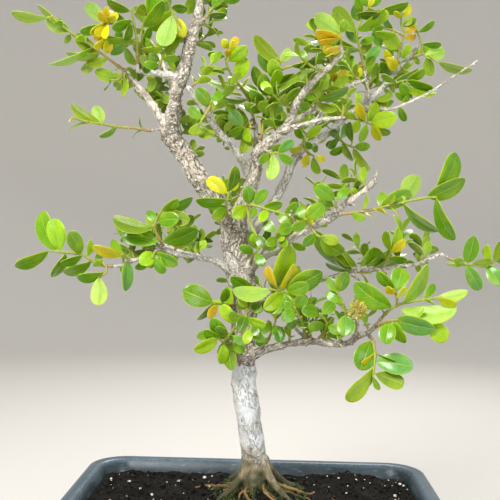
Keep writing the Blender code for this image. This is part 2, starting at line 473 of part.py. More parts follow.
def seen(across, down, depth):
    """The point that shows at these steps of the sheet, this far behind the plane through the trunk."""
    reach = STEP * (1 + depth / EYE_DISTANCE)
    return PIVOT + SIGHT @ Vector(((across - AXIS_STEP) * reach, depth, (HORIZON_STEP - down) * reach))


def smooth_route(points, spacing):
    """Points about this far apart along a Catmull-Rom curve through the given ones, which are tuples."""
    padded = [points[0], *points, points[-1]]
    route = [points[0]]
    for before, start, end, after in zip(padded, padded[1:], padded[2:], padded[3:]):
        pieces = max(1, round((Vector(end[:3]) - Vector(start[:3])).length / spacing))
        for piece in range(1, pieces + 1):
            t = piece / pieces
            route.append(tuple(
                b + 0.5 * t * (c - a + (2 * a - 5 * b + 4 * c - d) * t + (3 * b - a - 3 * c + d) * t * t)
                for a, b, c, d in zip(before, start, end, after)
            ))
    return route


def route_in_space(points, spacing):
    """The smooth route through sheet points, as (x, y, z, ...) tuples; any further number is kept."""
    placed = [(*seen(*point[:3]), *point[3:]) for point in points]
    return smooth_route(placed, spacing)


def mesh_of_tube(route, radii, sides_step, grow=0.0):
    """A closed round tube along a route. It has 4 + 2 * sides_step sides."""
    data = bpy.data.curves.new("tube", "CURVE")
    data.dimensions = "3D"
    data.bevel_depth = 1.0
    data.bevel_resolution = sides_step
    data.use_fill_caps = True
    spline = data.splines.new("POLY")
    spline.points.add(len(route) - 1)
    for point, position, radius in zip(spline.points, route, radii):
        point.co = (*position[:3], 1.0)
        point.radius = radius + grow
    guide = bpy.data.objects.new("tube", data)
    bpy.context.scene.collection.objects.link(guide)
    bpy.context.view_layer.update()
    mesh = bpy.data.meshes.new_from_object(guide.evaluated_get(bpy.context.evaluated_depsgraph_get()))
    bpy.data.objects.remove(guide)
    bpy.data.curves.remove(data)
    shape = bmesh.new()
    shape.from_mesh(mesh)
    bmesh.ops.remove_doubles(shape, verts=shape.verts, dist=0.0005)
    bmesh.ops.recalc_face_normals(shape, faces=shape.faces)
    shape.to_mesh(mesh)
    shape.free()
    return mesh


def joined(meshes):
    """One mesh, the Boolean union of the given closed meshes."""
    if len(meshes) == 1:
        return meshes[0]
    scene_objects = bpy.context.scene.collection.objects
    operands = bpy.data.collections.new("operands")
    bpy.context.scene.collection.children.link(operands)
    first = bpy.data.objects.new("first", meshes[0])
    scene_objects.link(first)
    for mesh in meshes[1:]:
        operands.objects.link(bpy.data.objects.new("operand", mesh))
    union = first.modifiers.new("union", "BOOLEAN")
    union.operation = "UNION"
    union.operand_type = "COLLECTION"
    union.collection = operands
    union.solver = "MANIFOLD"
    bpy.context.view_layer.update()
    result = bpy.data.meshes.new_from_object(first.evaluated_get(bpy.context.evaluated_depsgraph_get()))
    for helper in [first, *operands.objects]:
        bpy.data.objects.remove(helper)
    bpy.data.collections.remove(operands)
    return result


def carved(mesh, cutters):
    """The mesh with the closed cutters taken away."""
    body = bpy.data.objects.new("body", mesh)
    bpy.context.scene.collection.objects.link(body)
    helpers = []
    for cutter in cutters:
        tool = bpy.data.objects.new("cutter", cutter)
        bpy.context.scene.collection.objects.link(tool)
        helpers.append(tool)
        cut = body.modifiers.new("cut", "BOOLEAN")
        cut.operation = "DIFFERENCE"
        cut.object = tool
        cut.solver = "MANIFOLD"
    bpy.context.view_layer.update()
    result = bpy.data.meshes.new_from_object(body.evaluated_get(bpy.context.evaluated_depsgraph_get()))
    for helper in [body, *helpers]:
        bpy.data.objects.remove(helper)
    return result


def largest_piece(mesh):
    """Keeps the largest connected body of a mesh, in triangles, with its near-double points merged."""
    shape = bmesh.new()
    shape.from_mesh(mesh)
    bmesh.ops.remove_doubles(shape, verts=shape.verts, dist=0.001)
    bmesh.ops.dissolve_limit(shape, angle_limit=FLAT_ANGLE, verts=shape.verts, edges=shape.edges)
    bmesh.ops.triangulate(shape, faces=shape.faces)
    left = set(shape.faces)
    bodies = []
    while left:
        front = [left.pop()]
        body = list(front)
        while front:
            for edge in front.pop().edges:
                for other in edge.link_faces:
                    if other in left:
                        left.remove(other)
                        body.append(other)
                        front.append(other)
        bodies.append(body)
    bodies.sort(key=len)
    scraps = [face for body in bodies[:-1] for face in body]
    bmesh.ops.delete(shape, geom=scraps, context="FACES")
    shape.to_mesh(mesh)
    shape.free()
    return mesh


def tree_of(mesh):
    """A search tree over the surface of a mesh."""
    shape = bmesh.new()
    shape.from_mesh(mesh)
    tree = BVHTree.FromBMesh(shape)
    shape.free()
    return tree


class Leaf:
    """A leaf on its stalk: where it is rooted, its base, its tip, the way its upper face looks, its width."""

    def __init__(self, root, base, tip, normal, width, tone):
        self.root = root
        self.base = base
        self.tip = tip
        self.width = width
        self.tone = tone
        along = (tip - base).normalized()
        self.normal = (normal - along * normal.dot(along)).normalized()

    def bent(self, roll, swing, pitch, size):
        """The same leaf, turned about its base and resized."""
        along = self.tip - self.base
        side = along.normalized().cross(self.normal)
        turn = (
            Matrix.Rotation(swing, 3, self.normal)
            @ Matrix.Rotation(pitch, 3, side)
            @ Matrix.Rotation(roll, 3, along.normalized())
        )
        return Leaf(
            self.root, self.base, self.base + turn @ along * size, turn @ self.normal,
            self.width * size, self.tone,
        )

    def point(self, t, u, half):
        """The point at t along the blade and u across it, where the blade is this wide to each side."""
        along = self.tip - self.base
        side = along.normalized().cross(self.normal)
        rise = BLADE_BOW * along.length * 4 * t * (1 - t) + BLADE_FOLD * abs(u) * half
        return self.base + along * t + side * (u * half) + self.normal * rise


def mesh_of_blade(leaf, thickness=BLADE_THICKNESS, spread=0.0, from_root=True):
    """A closed leaf blade of few triangles, alike on both faces, with a petiole where the root lies apart."""
    half = leaf.width / 2
    rows = [[leaf.point(t, u, half * share + spread) for u in (-1, 1)] for t, share in BLADE_ROWS]
    stalk = leaf.base - leaf.root
    first = leaf.base
    if from_root:
        first = leaf.root - (leaf.tip - leaf.base).normalized() * ROOT_SINK
        if stalk.length > LONG_STALK:
            first = leaf.root - stalk.normalized() * ROOT_SINK
            rows.insert(0, [leaf.point(0, u, PETIOLE_HALF + spread) for u in (-1, 1)])
    else:
        first = leaf.point(0.14, 0, 0)
    lift = leaf.normal * (thickness / 2)
    shape = bmesh.new()
    for sign in (1, -1):
        start = shape.verts.new(first + lift * sign)
        lines = [[shape.verts.new(point + lift * sign) for point in row] for row in rows]
        end = shape.verts.new(leaf.tip + lift * sign)
        faces = [(start, lines[0][1], lines[0][0]), (end, lines[-1][0], lines[-1][1])]
        for low, high in zip(lines, lines[1:]):
            faces.append((low[0], low[1], high[0]))
            faces.append((low[1], high[1], high[0]))
        for face in faces:
            shape.faces.new(face if sign > 0 else face[::-1])
        rim = [start, *[line[0] for line in lines], end, *[line[1] for line in reversed(lines)]]
        if sign > 0:
            upper_rim = rim
    for k, corner in enumerate(rim):
        after = (k + 1) % len(rim)
        shape.faces.new((corner, rim[after], upper_rim[after]))
        shape.faces.new((corner, upper_rim[after], upper_rim[k]))
    bmesh.ops.recalc_face_normals(shape, faces=shape.faces)
    mesh = bpy.data.meshes.new("blade")
    shape.to_mesh(mesh)
    shape.free()
    return mesh


def nearest_on(routes, sheet_point):
    """The twig point that shows nearest to a sheet point, as (across, down, depth)."""
    best = None
    for route in routes:
        for start, end in zip(route, route[1:]):
            run = Vector(end[:2]) - Vector(start[:2])
            share = (Vector(sheet_point) - Vector(start[:2])).dot(run) / max(run.length_squared, 1e-9)
            share = min(1.0, max(0.0, share))
            point = [a + (b - a) * share for a, b in zip(start[:3], end[:3])]
            distance = (Vector(point[:2]) - Vector(sheet_point)).length
            if best is None or distance < best[0]:
                best = (distance, point)
    return best[1]


def leaf_as_seen(routes, entry, chance):
    """The leaf of one line of a spray's table."""
    base_x, base_y, tip_x, tip_y, width, lean, tone = entry
    on_twig = nearest_on(routes, (base_x, base_y))
    root = seen(*on_twig)
    base = seen(base_x, base_y, on_twig[2] + lean * 0.1)
    tip = seen(tip_x, tip_y, on_twig[2] + lean)
    if (base - root).length < 1.2:
        base = root + (tip - root).normalized() * 1.2
    along = (tip - base).normalized()
    width_seen = width * STEP
    full_width = max(width_seen, BLADE_RATIO * (tip - base).length)
    to_eye = (EYE - base).normalized()
    facing = (to_eye - along * to_eye.dot(along)).normalized()
    roll = math.acos(min(1.0, width_seen / full_width)) * 0.9
    up = Vector((0, 0, 1))
    sign = 1 if along.cross(facing).dot(up) < 0 else -1
    if tone in UNDERSIDE_TONES:
        sign = -sign
        facing = -facing
    roll += chance.uniform(-0.12, 0.12)
    normal = Matrix.Rotation(sign * roll, 3, along) @ facing
    return Leaf(root, base, tip, normal, min(full_width, 0.64 * (tip - base).length + 1.5), tone)


def leaves_by_rule(route, spacing, length, chance):
    """Opposite pairs of leaves up a twig, each pair turned a quarter turn from the one below."""
    leaves = []
    lengths = [0.0]
    for start, end in zip(route, route[1:]):
        lengths.append(lengths[-1] + (Vector(end[:3]) - Vector(start[:3])).length)
    total = lengths[-1]
    count = max(2, int(total / spacing))
    turn = chance.uniform(0, math.pi)
    for pair in range(1, count + 1):
        at = total * (pair / count) - 0.4
        k = next(i for i in range(1, len(lengths)) if lengths[i] >= at)
        share = (at - lengths[k - 1]) / (lengths[k] - lengths[k - 1])
        root = Vector(route[k - 1][:3]).lerp(Vector(route[k][:3]), share)
        stem = (Vector(route[k][:3]) - Vector(route[k - 1][:3])).normalized()
        turn += math.pi / 2 + chance.uniform(-0.3, 0.3)
        across = stem.orthogonal().normalized()
        for side in (0, math.pi):
            out = Matrix.Rotation(turn + side, 3, stem) @ across
            open_angle = chance.uniform(0.75, 1.15) if pair < count else chance.uniform(0.45, 0.7)
            way = (stem * math.cos(open_angle) + out * math.sin(open_angle)).normalized()
            size = length * chance.uniform(0.85, 1.12)
            normal = stem * math.sin(open_angle) - out * math.cos(open_angle) + Vector((0, 0, 0.5))
            normal.normalize()
            base = root + way * 1.2
            tone = chance.choice("ggglo")
            leaves.append(Leaf(root, base, base + way * size, normal, size * BLADE_RATIO, tone))
    return leaves


def settle_leaf(leaf, others, siblings):
    """The leaf bent clear of other nodes and, if it can be, of leaves beside it, or None."""
    fallback = None
    for bend in BENDS:
        trial = leaf.bent(*bend)
        outer = tree_of(mesh_of_blade(trial, BLADE_THICKNESS + 0.7, 0.35))
        if any(outer.overlap(tree) for tree in others):
            continue
        inner = tree_of(mesh_of_blade(trial, BLADE_THICKNESS + 0.2, 0.1, from_root=False))
        if not any(inner.overlap(tree) for tree in siblings):
            return trial, inner
        fallback = fallback or (trial, inner)
    return fallback


def branch_radius_near(position):
    """The radius of the branch that passes nearest to a position."""
    return min(BRANCH_POINTS, key=lambda entry: (entry[0] - position).length)[1]


def split_twig(points):
    """The straight spur that stays on the branch and the twig that runs on from it past a small gap."""
    route = route_in_space(points, TWIG_SPACING)
    positions = [Vector(point[:3]) for point in route]
    length = SPUR_LENGTH + branch_radius_near(positions[0])
    way = (positions[1] - positions[0]).normalized()
    cut = positions[0] + way * length
    seat = cut + way * GAP
    lead = seat + way * (SHORTEST_STEP / 2)
    twig = [point for point in positions[1:] if (point - positions[0]).length > length + SHORTEST_STEP]
    return [positions[0], cut], [seat, lead, *twig]


def plan_branches():
    """The smooth routes of the branches and roots, with their radii."""
    plans = []
    for name, points in BRANCHES.items():
        spacing = TRUNK_SPACING if name == "trunk" else BRANCH_SPACING
        route = route_in_space(points, spacing)
        plans.append((name, route))
        BRANCH_POINTS.extend((Vector(point[:3]), point[3]) for point in route)
    for name, points in ROOTS.items():
        plans.append((name, smooth_route(points, 8.0)))
    return plans


def plan_sprays():
    """For each spray its twigs, its leaf makers and the spur that it stands on."""
    plans = []
    for name, (twigs, leaf_table) in SPRAYS.items():
        chance = random.Random(name)
        spur, first = split_twig(twigs[0])
        routes = [first]
        for twig in twigs[1:]:
            child = [Vector(point[:3]) for point in route_in_space(twig, TWIG_SPACING)]
            if (child[0] - first[0]).length < SEAT_CLEARANCE:
                child[0] = first[0] + (first[1] - first[0]).normalized() * SEAT_CLEARANCE
            routes.append(child)
        leaves = [leaf_as_seen(twigs, entry, chance) for entry in leaf_table]
        plans.append((name, spur, routes, leaves))
    for name, (twig, spacing, length) in GROWN_SPRAYS.items():
        chance = random.Random(name)
        spur, first = split_twig(twig)
        leaves = leaves_by_rule(first, spacing, length, chance)
        plans.append((name, spur, [first], leaves))
    return plans


def twig_radii(route, start=TWIG_START, end=TWIG_END):
    return [start + (end - start) * k / max(1, len(route) - 1) for k in range(len(route))]


def soil_height(x, y):
    """The height of the soil's surface, with its mounds and a fine unevenness."""
    height = SOIL_LEVEL
    for mound_x, mound_y, rise, reach in MOUNDS:
        height += rise * math.exp(-((x - mound_x) ** 2 + (y - mound_y) ** 2) / reach ** 2)
    return height + 0.7 * math.sin(x * 0.31 + y * 0.17) * math.cos(y * 0.27 - x * 0.11)


def rounded_ring(width, depth, corner, z, corner_points=4):
    """The points of a rounded rectangle at one height, counter-clockwise from above."""
    points = []
    for quarter in range(4):
        centre_x = (width / 2 - corner) * (1 if quarter in (0, 3) else -1)
        centre_y = (depth / 2 - corner) * (1 if quarter in (0, 1) else -1)
        for k in range(corner_points):
            angle = math.pi / 2 * (quarter + k / (corner_points - 1))
            x = centre_x + corner * math.cos(angle)
            y = centre_y + corner * math.sin(angle)
            points.append(Vector((x, y, z)))
    return points


def mesh_of_rings(rings, name):
    """A closed loft through rings of equal counts, capped flat at both ends."""
    shape = bmesh.new()
    lines = [[shape.verts.new(point) for point in ring] for ring in rings]
    for low, high in zip(lines, lines[1:]):
        for k in range(len(low)):
            after = (k + 1) % len(low)
            shape.faces.new((low[k], low[after], high[after], high[k]))
    shape.faces.new(lines[0][::-1])
    shape.faces.new(lines[-1])
    bmesh.ops.recalc_face_normals(shape, faces=shape.faces)
    mesh = bpy.data.meshes.new(name)
    shape.to_mesh(mesh)
    shape.free()
    return mesh


def wall_inset(z):
    """How far the pot's outer wall lies inside the rim's outline at one height."""
    return LIP_OVERHANG + POT_TAPER * (1 - z / (POT_HEIGHT - LIP_HEIGHT))


def pot_ring(inset, z):
    return rounded_ring(RIM_WIDTH - 2 * inset, RIM_DEPTH - 2 * inset, max(6.0, RIM_CORNER - inset * 0.8), z)


def mesh_of_cylinder(radius, low, high, x, y, sides=16):
    shape = bmesh.new()
    bmesh.ops.create_cone(
        shape, cap_ends=True, segments=sides, radius1=radius, radius2=radius, depth=high - low,
        matrix=Matrix.Translation((x, y, (low + high) / 2)),
    )
    mesh = bpy.data.meshes.new("cylinder")
    shape.to_mesh(mesh)
    shape.free()
    return mesh


def make_pot():
    """The pot: tapered walls, a flat lip, a thick floor and two drain holes."""
    lip_low = POT_HEIGHT - LIP_HEIGHT
    outer = [
        pot_ring(wall_inset(0) + FOOT_ROUND, 0), pot_ring(wall_inset(FOOT_ROUND), FOOT_ROUND),
        pot_ring(wall_inset(lip_low / 2), lip_low / 2), pot_ring(wall_inset(lip_low), lip_low),
        pot_ring(0.8, lip_low + 1.2), pot_ring(0, lip_low + 3),
        pot_ring(0, POT_HEIGHT - 2), pot_ring(1.2, POT_HEIGHT),
    ]
    inner = [
        pot_ring(LIP_WIDTH - 1.2, POT_HEIGHT), pot_ring(LIP_WIDTH, POT_HEIGHT - 1.5),
        pot_ring(inner_inset(lip_low), lip_low), pot_ring(inner_inset(FLOOR_THICKNESS), FLOOR_THICKNESS),
    ]
    mesh = mesh_of_rings(outer + inner, "pot")
    holes = [
        mesh_of_cylinder(DRAIN_RADIUS, -5, FLOOR_THICKNESS + 5, side * DRAIN_OFFSET, 0) for side in (-1, 1)
    ]
    return carved(mesh, holes)


def inner_inset(z):
    """How far the pot's inner wall lies inside the rim's outline at one height."""
    return LIP_WIDTH + 1.5 + POT_TAPER * (1 - z / POT_HEIGHT)


def make_screen():
    """A square drain screen: every second cell of every second line is open."""
    shape = bmesh.new()
    bmesh.ops.create_grid(shape, x_segments=SCREEN_CELLS, y_segments=SCREEN_CELLS, size=SCREEN_SIDE / 2)
    cell = SCREEN_SIDE / SCREEN_CELLS
    openings = []
    for face in shape.faces:
        centre = face.calc_center_median()
        column = round((centre.x + SCREEN_SIDE / 2) / cell - 0.5)
        line = round((centre.y + SCREEN_SIDE / 2) / cell - 0.5)
        if column % 2 == 1 and line % 2 == 1:
            openings.append(face)
    bmesh.ops.delete(shape, geom=openings, context="FACES")
    bmesh.ops.solidify(shape, geom=shape.faces, thickness=SCREEN_THICKNESS)
    bmesh.ops.recalc_face_normals(shape, faces=shape.faces)
    mesh = bpy.data.meshes.new("screen")
    shape.to_mesh(mesh)
    shape.free()
    return mesh


def make_soil(stump, roots):
    """The soil that fills the pot: level at the wall, mounded inside, with a plain hole for the stump."""
    low = FLOOR_THICKNESS + GAP
    bottom = pot_ring(inner_inset(FLOOR_THICKNESS) + 2 * GAP, low)
    side = pot_ring(inner_inset(POT_HEIGHT - LIP_HEIGHT) + 2 * GAP, POT_HEIGHT - LIP_HEIGHT)
    rings = [bottom, side]
    edge = pot_ring(inner_inset(SOIL_LEVEL) + 2 * GAP, 0)
    for share in (1.0, 0.9, 0.76, 0.6, 0.44, 0.3, 0.16):
        ring = []
        for point in edge:
            x = point.x * share + TRUNK_FOOT[0] * (1 - share)
            y = point.y * share + TRUNK_FOOT[1] * (1 - share)
            ring.append(Vector((x, y, soil_height(x, y))))
        rings.append(ring)
    mesh = mesh_of_rings(rings, "soil")
    room = SCREEN_SIDE / 2 + GAP
    pockets = []
    for side_sign in (-1, 1):
        shape = bmesh.new()
        bmesh.ops.create_cube(shape, size=1.0)
        height = SCREEN_THICKNESS + 2 * GAP
        bmesh.ops.scale(shape, vec=(2 * room, 2 * room, height + 4), verts=shape.verts)
        shift = (side_sign * DRAIN_OFFSET, 0, FLOOR_THICKNESS + height - (height + 4) / 2)
        bmesh.ops.translate(shape, vec=shift, verts=shape.verts)
        pocket = bpy.data.meshes.new("pocket")
        shape.to_mesh(pocket)
        shape.free()
        pockets.append(pocket)
    return carved(mesh, [*pockets, stump, *roots])


def make_flower(base, top):
    """A small spiky head: a round core with blunt spikes all over."""
    centre = base.lerp(top, 0.62)
    axis = (top - base).normalized()
    pieces = []
    core = bmesh.new()
    bmesh.ops.create_icosphere(core, subdivisions=1, radius=3.4, matrix=Matrix.Translation(centre))
    ways = [vertex.co - centre for vertex in core.verts]
    mesh = bpy.data.meshes.new("core")
    core.to_mesh(mesh)
    core.free()
    pieces.append(mesh)
    pieces.append(mesh_of_tube([base + axis * GAP, centre], [1.0, 1.0], 0))
    for way in ways:
        if way.normalized().dot(axis) < -0.75:
            continue
        direction = way.normalized()
        turn = direction.to_track_quat("Z", "Y").to_matrix().to_4x4()
        spike = bmesh.new()
        bmesh.ops.create_cone(
            spike, cap_ends=True, segments=4, radius1=1.1, radius2=0.5, depth=4.5,
            matrix=Matrix.Translation(centre + direction * 4.4) @ turn,
        )
        spike_mesh = bpy.data.meshes.new("spike")
        spike.to_mesh(spike_mesh)
        spike.free()
        pieces.append(spike_mesh)
    return joined(pieces)


def grow_spray(twigs, leaves, others):
    """One spray: its twigs and leaves in one body, with no leaf that would cross another node."""
    siblings = []
    blades = []
    for leaf in leaves:
        settled = settle_leaf(leaf, others, siblings)
        if settled:
            siblings.append(settled[1])
            blades.append(mesh_of_blade(settled[0]))
    return joined([*twigs, *blades])


def material(name, color, roughness):
    made = bpy.data.materials.new(name)
    made.use_nodes = True
    shader = made.node_tree.nodes["Principled BSDF"]
    shader.inputs["Base Color"].default_value = (*color, 1.0)
    shader.inputs["Roughness"].default_value = roughness
    return made


def place(name, mesh, collection, look):
    """Adds a finished node, brought from millimetres to metres."""
    mesh = largest_piece(mesh)
    mesh.transform(Matrix.Scale(MM, 4))
    mesh.materials.clear()
    mesh.materials.append(look)
    mesh.name = name
    placed = bpy.data.objects.new(name, mesh)
    collection.objects.link(placed)
    return placed


def main():
    for old in list(bpy.data.objects):
        bpy.data.objects.remove(old)
    bonsai = bpy.data.collections.new("boxwood_bonsai")
    bpy.context.scene.collection.children.link(bonsai)
    leaf_look = material("leaf", (0.17, 0.38, 0.03), 0.35)
    young_look = material("young_leaf", (0.48, 0.58, 0.05), 0.4)
    bark_look = material("bark", (0.55, 0.47, 0.36), 0.85)
    pot_look = material("pot", (0.045, 0.075, 0.095), 0.4)
    soil_look = material("soil", (0.02, 0.017, 0.014), 0.95)
    flower_look = material("flower", (0.5, 0.45, 0.15), 0.7)
    screen_look = material("screen", (0.03, 0.03, 0.03), 0.6)

    branches = plan_branches()
    sprays = plan_sprays()
    wood_parts = []
    for name, route in branches:
        radii = [point[3] for point in route]
        sides_step = 3 if name == "trunk" else (1 if max(radii) > STOUT_RADIUS else 0)
        wood_parts.append(mesh_of_tube(route, radii, sides_step))
    for name, spur, routes, leaves in sprays:
        wood_parts.append(mesh_of_tube(spur, [TWIG_START] * len(spur), 0))
    wood = largest_piece(joined(wood_parts))

    below_soil = [(name, route) for name, route in branches if name in ROOTS or name == "trunk"]
    cutters = []
    for name, route in below_soil:
        low = [point for point in route if point[2] < SOIL_LEVEL + 30]
        cutters.append(mesh_of_tube(low, [point[3] for point in low], 3, grow=GAP + ROOT_SLACK))
    foot = cutters[0]
    foot_low = min(vertex.co.z for vertex in foot.vertices)
    for vertex in foot.vertices:
        if vertex.co.z < foot_low + 1.0:
            vertex.co.z -= 2 * GAP
    soil = make_soil(foot, cutters[1:])

    taken = {"wood": tree_of(wood), "soil": tree_of(soil)}
    place("wood", wood, bonsai, bark_look)
    place("soil", soil, bonsai, soil_look)
    place("pot", make_pot(), bonsai, pot_look)
    screen_top = FLOOR_THICKNESS + GAP + SCREEN_THICKNESS
    for side, name in ((-1, "drain_screen_left"), (1, "drain_screen_right")):
        screen = make_screen()
        screen.transform(Matrix.Translation((side * DRAIN_OFFSET, 0, screen_top)))
        place(name, screen, bonsai, screen_look)
    flower = make_flower(seen(*FLOWER_BASE), seen(*FLOWER_TOP))
    taken["flower_head"] = tree_of(flower)
    place("flower_head", flower, bonsai, flower_look)

    twig_meshes = {}
    for name, spur, routes, leaves in sprays:
        twig_meshes[name] = [mesh_of_tube(route, twig_radii(route), 0) for route in routes]
        taken[name] = tree_of(joined(twig_meshes[name]))
    for name, spur, routes, leaves in sprays:
        others = [tree for other, tree in taken.items() if other != name]
        spray = grow_spray(twig_meshes[name], leaves, others)
        taken[name] = tree_of(spray)
        place(name, spray, bonsai, young_look if name == "spray_bright" else leaf_look)


main()
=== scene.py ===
"""A boxwood bonsai in its pot, dressed leaf by leaf. It is laid out in millimetres and built in metres."""
import math
import random
from itertools import product

import bmesh
import bpy
import numpy as np
from mathutils import Matrix, Vector, noise
from mathutils.kdtree import KDTree


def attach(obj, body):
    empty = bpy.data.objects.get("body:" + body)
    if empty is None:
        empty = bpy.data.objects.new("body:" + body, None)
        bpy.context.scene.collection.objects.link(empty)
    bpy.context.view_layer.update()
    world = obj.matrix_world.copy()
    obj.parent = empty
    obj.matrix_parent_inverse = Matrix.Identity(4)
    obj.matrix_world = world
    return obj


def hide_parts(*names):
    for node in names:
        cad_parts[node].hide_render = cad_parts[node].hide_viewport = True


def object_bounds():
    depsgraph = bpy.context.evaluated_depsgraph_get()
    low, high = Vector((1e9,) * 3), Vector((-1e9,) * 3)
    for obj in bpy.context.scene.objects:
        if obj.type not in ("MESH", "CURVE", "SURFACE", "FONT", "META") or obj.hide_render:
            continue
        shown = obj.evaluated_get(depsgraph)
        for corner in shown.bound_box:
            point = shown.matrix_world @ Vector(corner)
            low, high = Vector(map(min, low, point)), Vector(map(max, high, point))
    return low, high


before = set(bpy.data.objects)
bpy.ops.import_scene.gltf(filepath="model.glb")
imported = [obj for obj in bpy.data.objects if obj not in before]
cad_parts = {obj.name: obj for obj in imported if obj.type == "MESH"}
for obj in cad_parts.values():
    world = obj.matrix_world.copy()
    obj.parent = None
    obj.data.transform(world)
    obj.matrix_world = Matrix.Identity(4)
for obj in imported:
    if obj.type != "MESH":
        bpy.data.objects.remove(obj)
SOLID_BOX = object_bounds()

MM = 0.001
GAP = 0.3
FULL_TURN = 6.28
UP = Vector((0, 0, 1))

# The sharpest turn between two faces that is shaded smooth, on most pieces and on the pot.
CREASE_ANGLE = math.radians(50)
POT_CREASE = math.radians(35)

# Pot: a rounded rectangle with a flat lip.
RIM_WIDTH = 226.0
RIM_DEPTH = 166.0
RIM_CORNER = 24.0
POT_HEIGHT = 75.0
POT_TAPER = 17.0
LIP_WIDTH = 8.0
LIP_HEIGHT = 9.0
LIP_OVERHANG = 3.5
FOOT_ROUND = 1.5
FLOOR_THICKNESS = 7.0
DRAIN_RADIUS = 8.0
DRAIN_OFFSET = 48.0
SCREEN_THICKNESS = 1.5

# Soil: its level at the wall, and the mounds that rise from it.
SOIL_LEVEL = 67.5
TRUNK_FOOT = (2.0, 20.0)
MOUNDS = ((2.0, 18.0, 9.0, 30.0), (62.0, 58.0, 5.0, 16.0), (-58.0, 30.0, 2.5, 26.0))

# The tree is laid out on the plane through the trunk that faces the viewer. A point there is given as it
# shows from in front: across and down on a sheet of 500 by 500 fine steps, and its depth behind the plane.
STEP = 0.6
AXIS_STEP = 250.0
HORIZON_STEP = 241.0
SHEET_STEPS = 500
EYE_DISTANCE = 480.0
PIVOT = Vector((-4.5, 0.0, 228.0))
VIEW_YAW = math.radians(1.9)
VIEW_ROLL = math.radians(-1.0)
SIGHT = Matrix.Rotation(VIEW_YAW, 3, "Z") @ Matrix.Rotation(VIEW_ROLL, 3, "Y")
EYE = PIVOT + SIGHT @ Vector((0.0, -EYE_DISTANCE, 0.0))

# Leaves and twigs, as the solids have them.
BLADE_THICKNESS = 0.62
BLADE_RATIO = 0.56
BLADE_BOW = 0.07
BLADE_FOLD = 0.22
TWIG_START = 1.0
TWIG_END = 0.65
TWIG_SPACING = 17.0
TRUNK_SPACING = 14.0
BRANCH_SPACING = 19.0
SPUR_LENGTH = 4.0
SEAT_CLEARANCE = 2.5
SHORTEST_STEP = 1.5
STALK_LENGTH = 1.2

# How near a leaf's tip lies to a corner of its solid when the two are the same.
CORNER_MATCH = 0.02

# The tones of leaves that show their undersides.
UNDERSIDE_TONES = "op"

# The turns that a leaf may have taken to stay clear of other pieces: (roll, swing, pitch, size).
BENDS = [(0.0, 0.0, 0.0, 1.0)]
for pitch in (0.2, -0.2, 0.4, -0.4):
    BENDS += [(0.0, 0.0, pitch, 1.0), (0.3, 0.15, pitch, 1.0), (-0.3, -0.15, pitch, 1.0)]
for pitch in (0.0, 0.5, -0.5, 0.8, -0.8):
    BENDS += [(0.0, 0.3, pitch, 0.85), (0.0, -0.3, pitch, 0.85)]

# Filled in from the routes below: a place on each branch with the branch's radius there.
BRANCH_POINTS = []

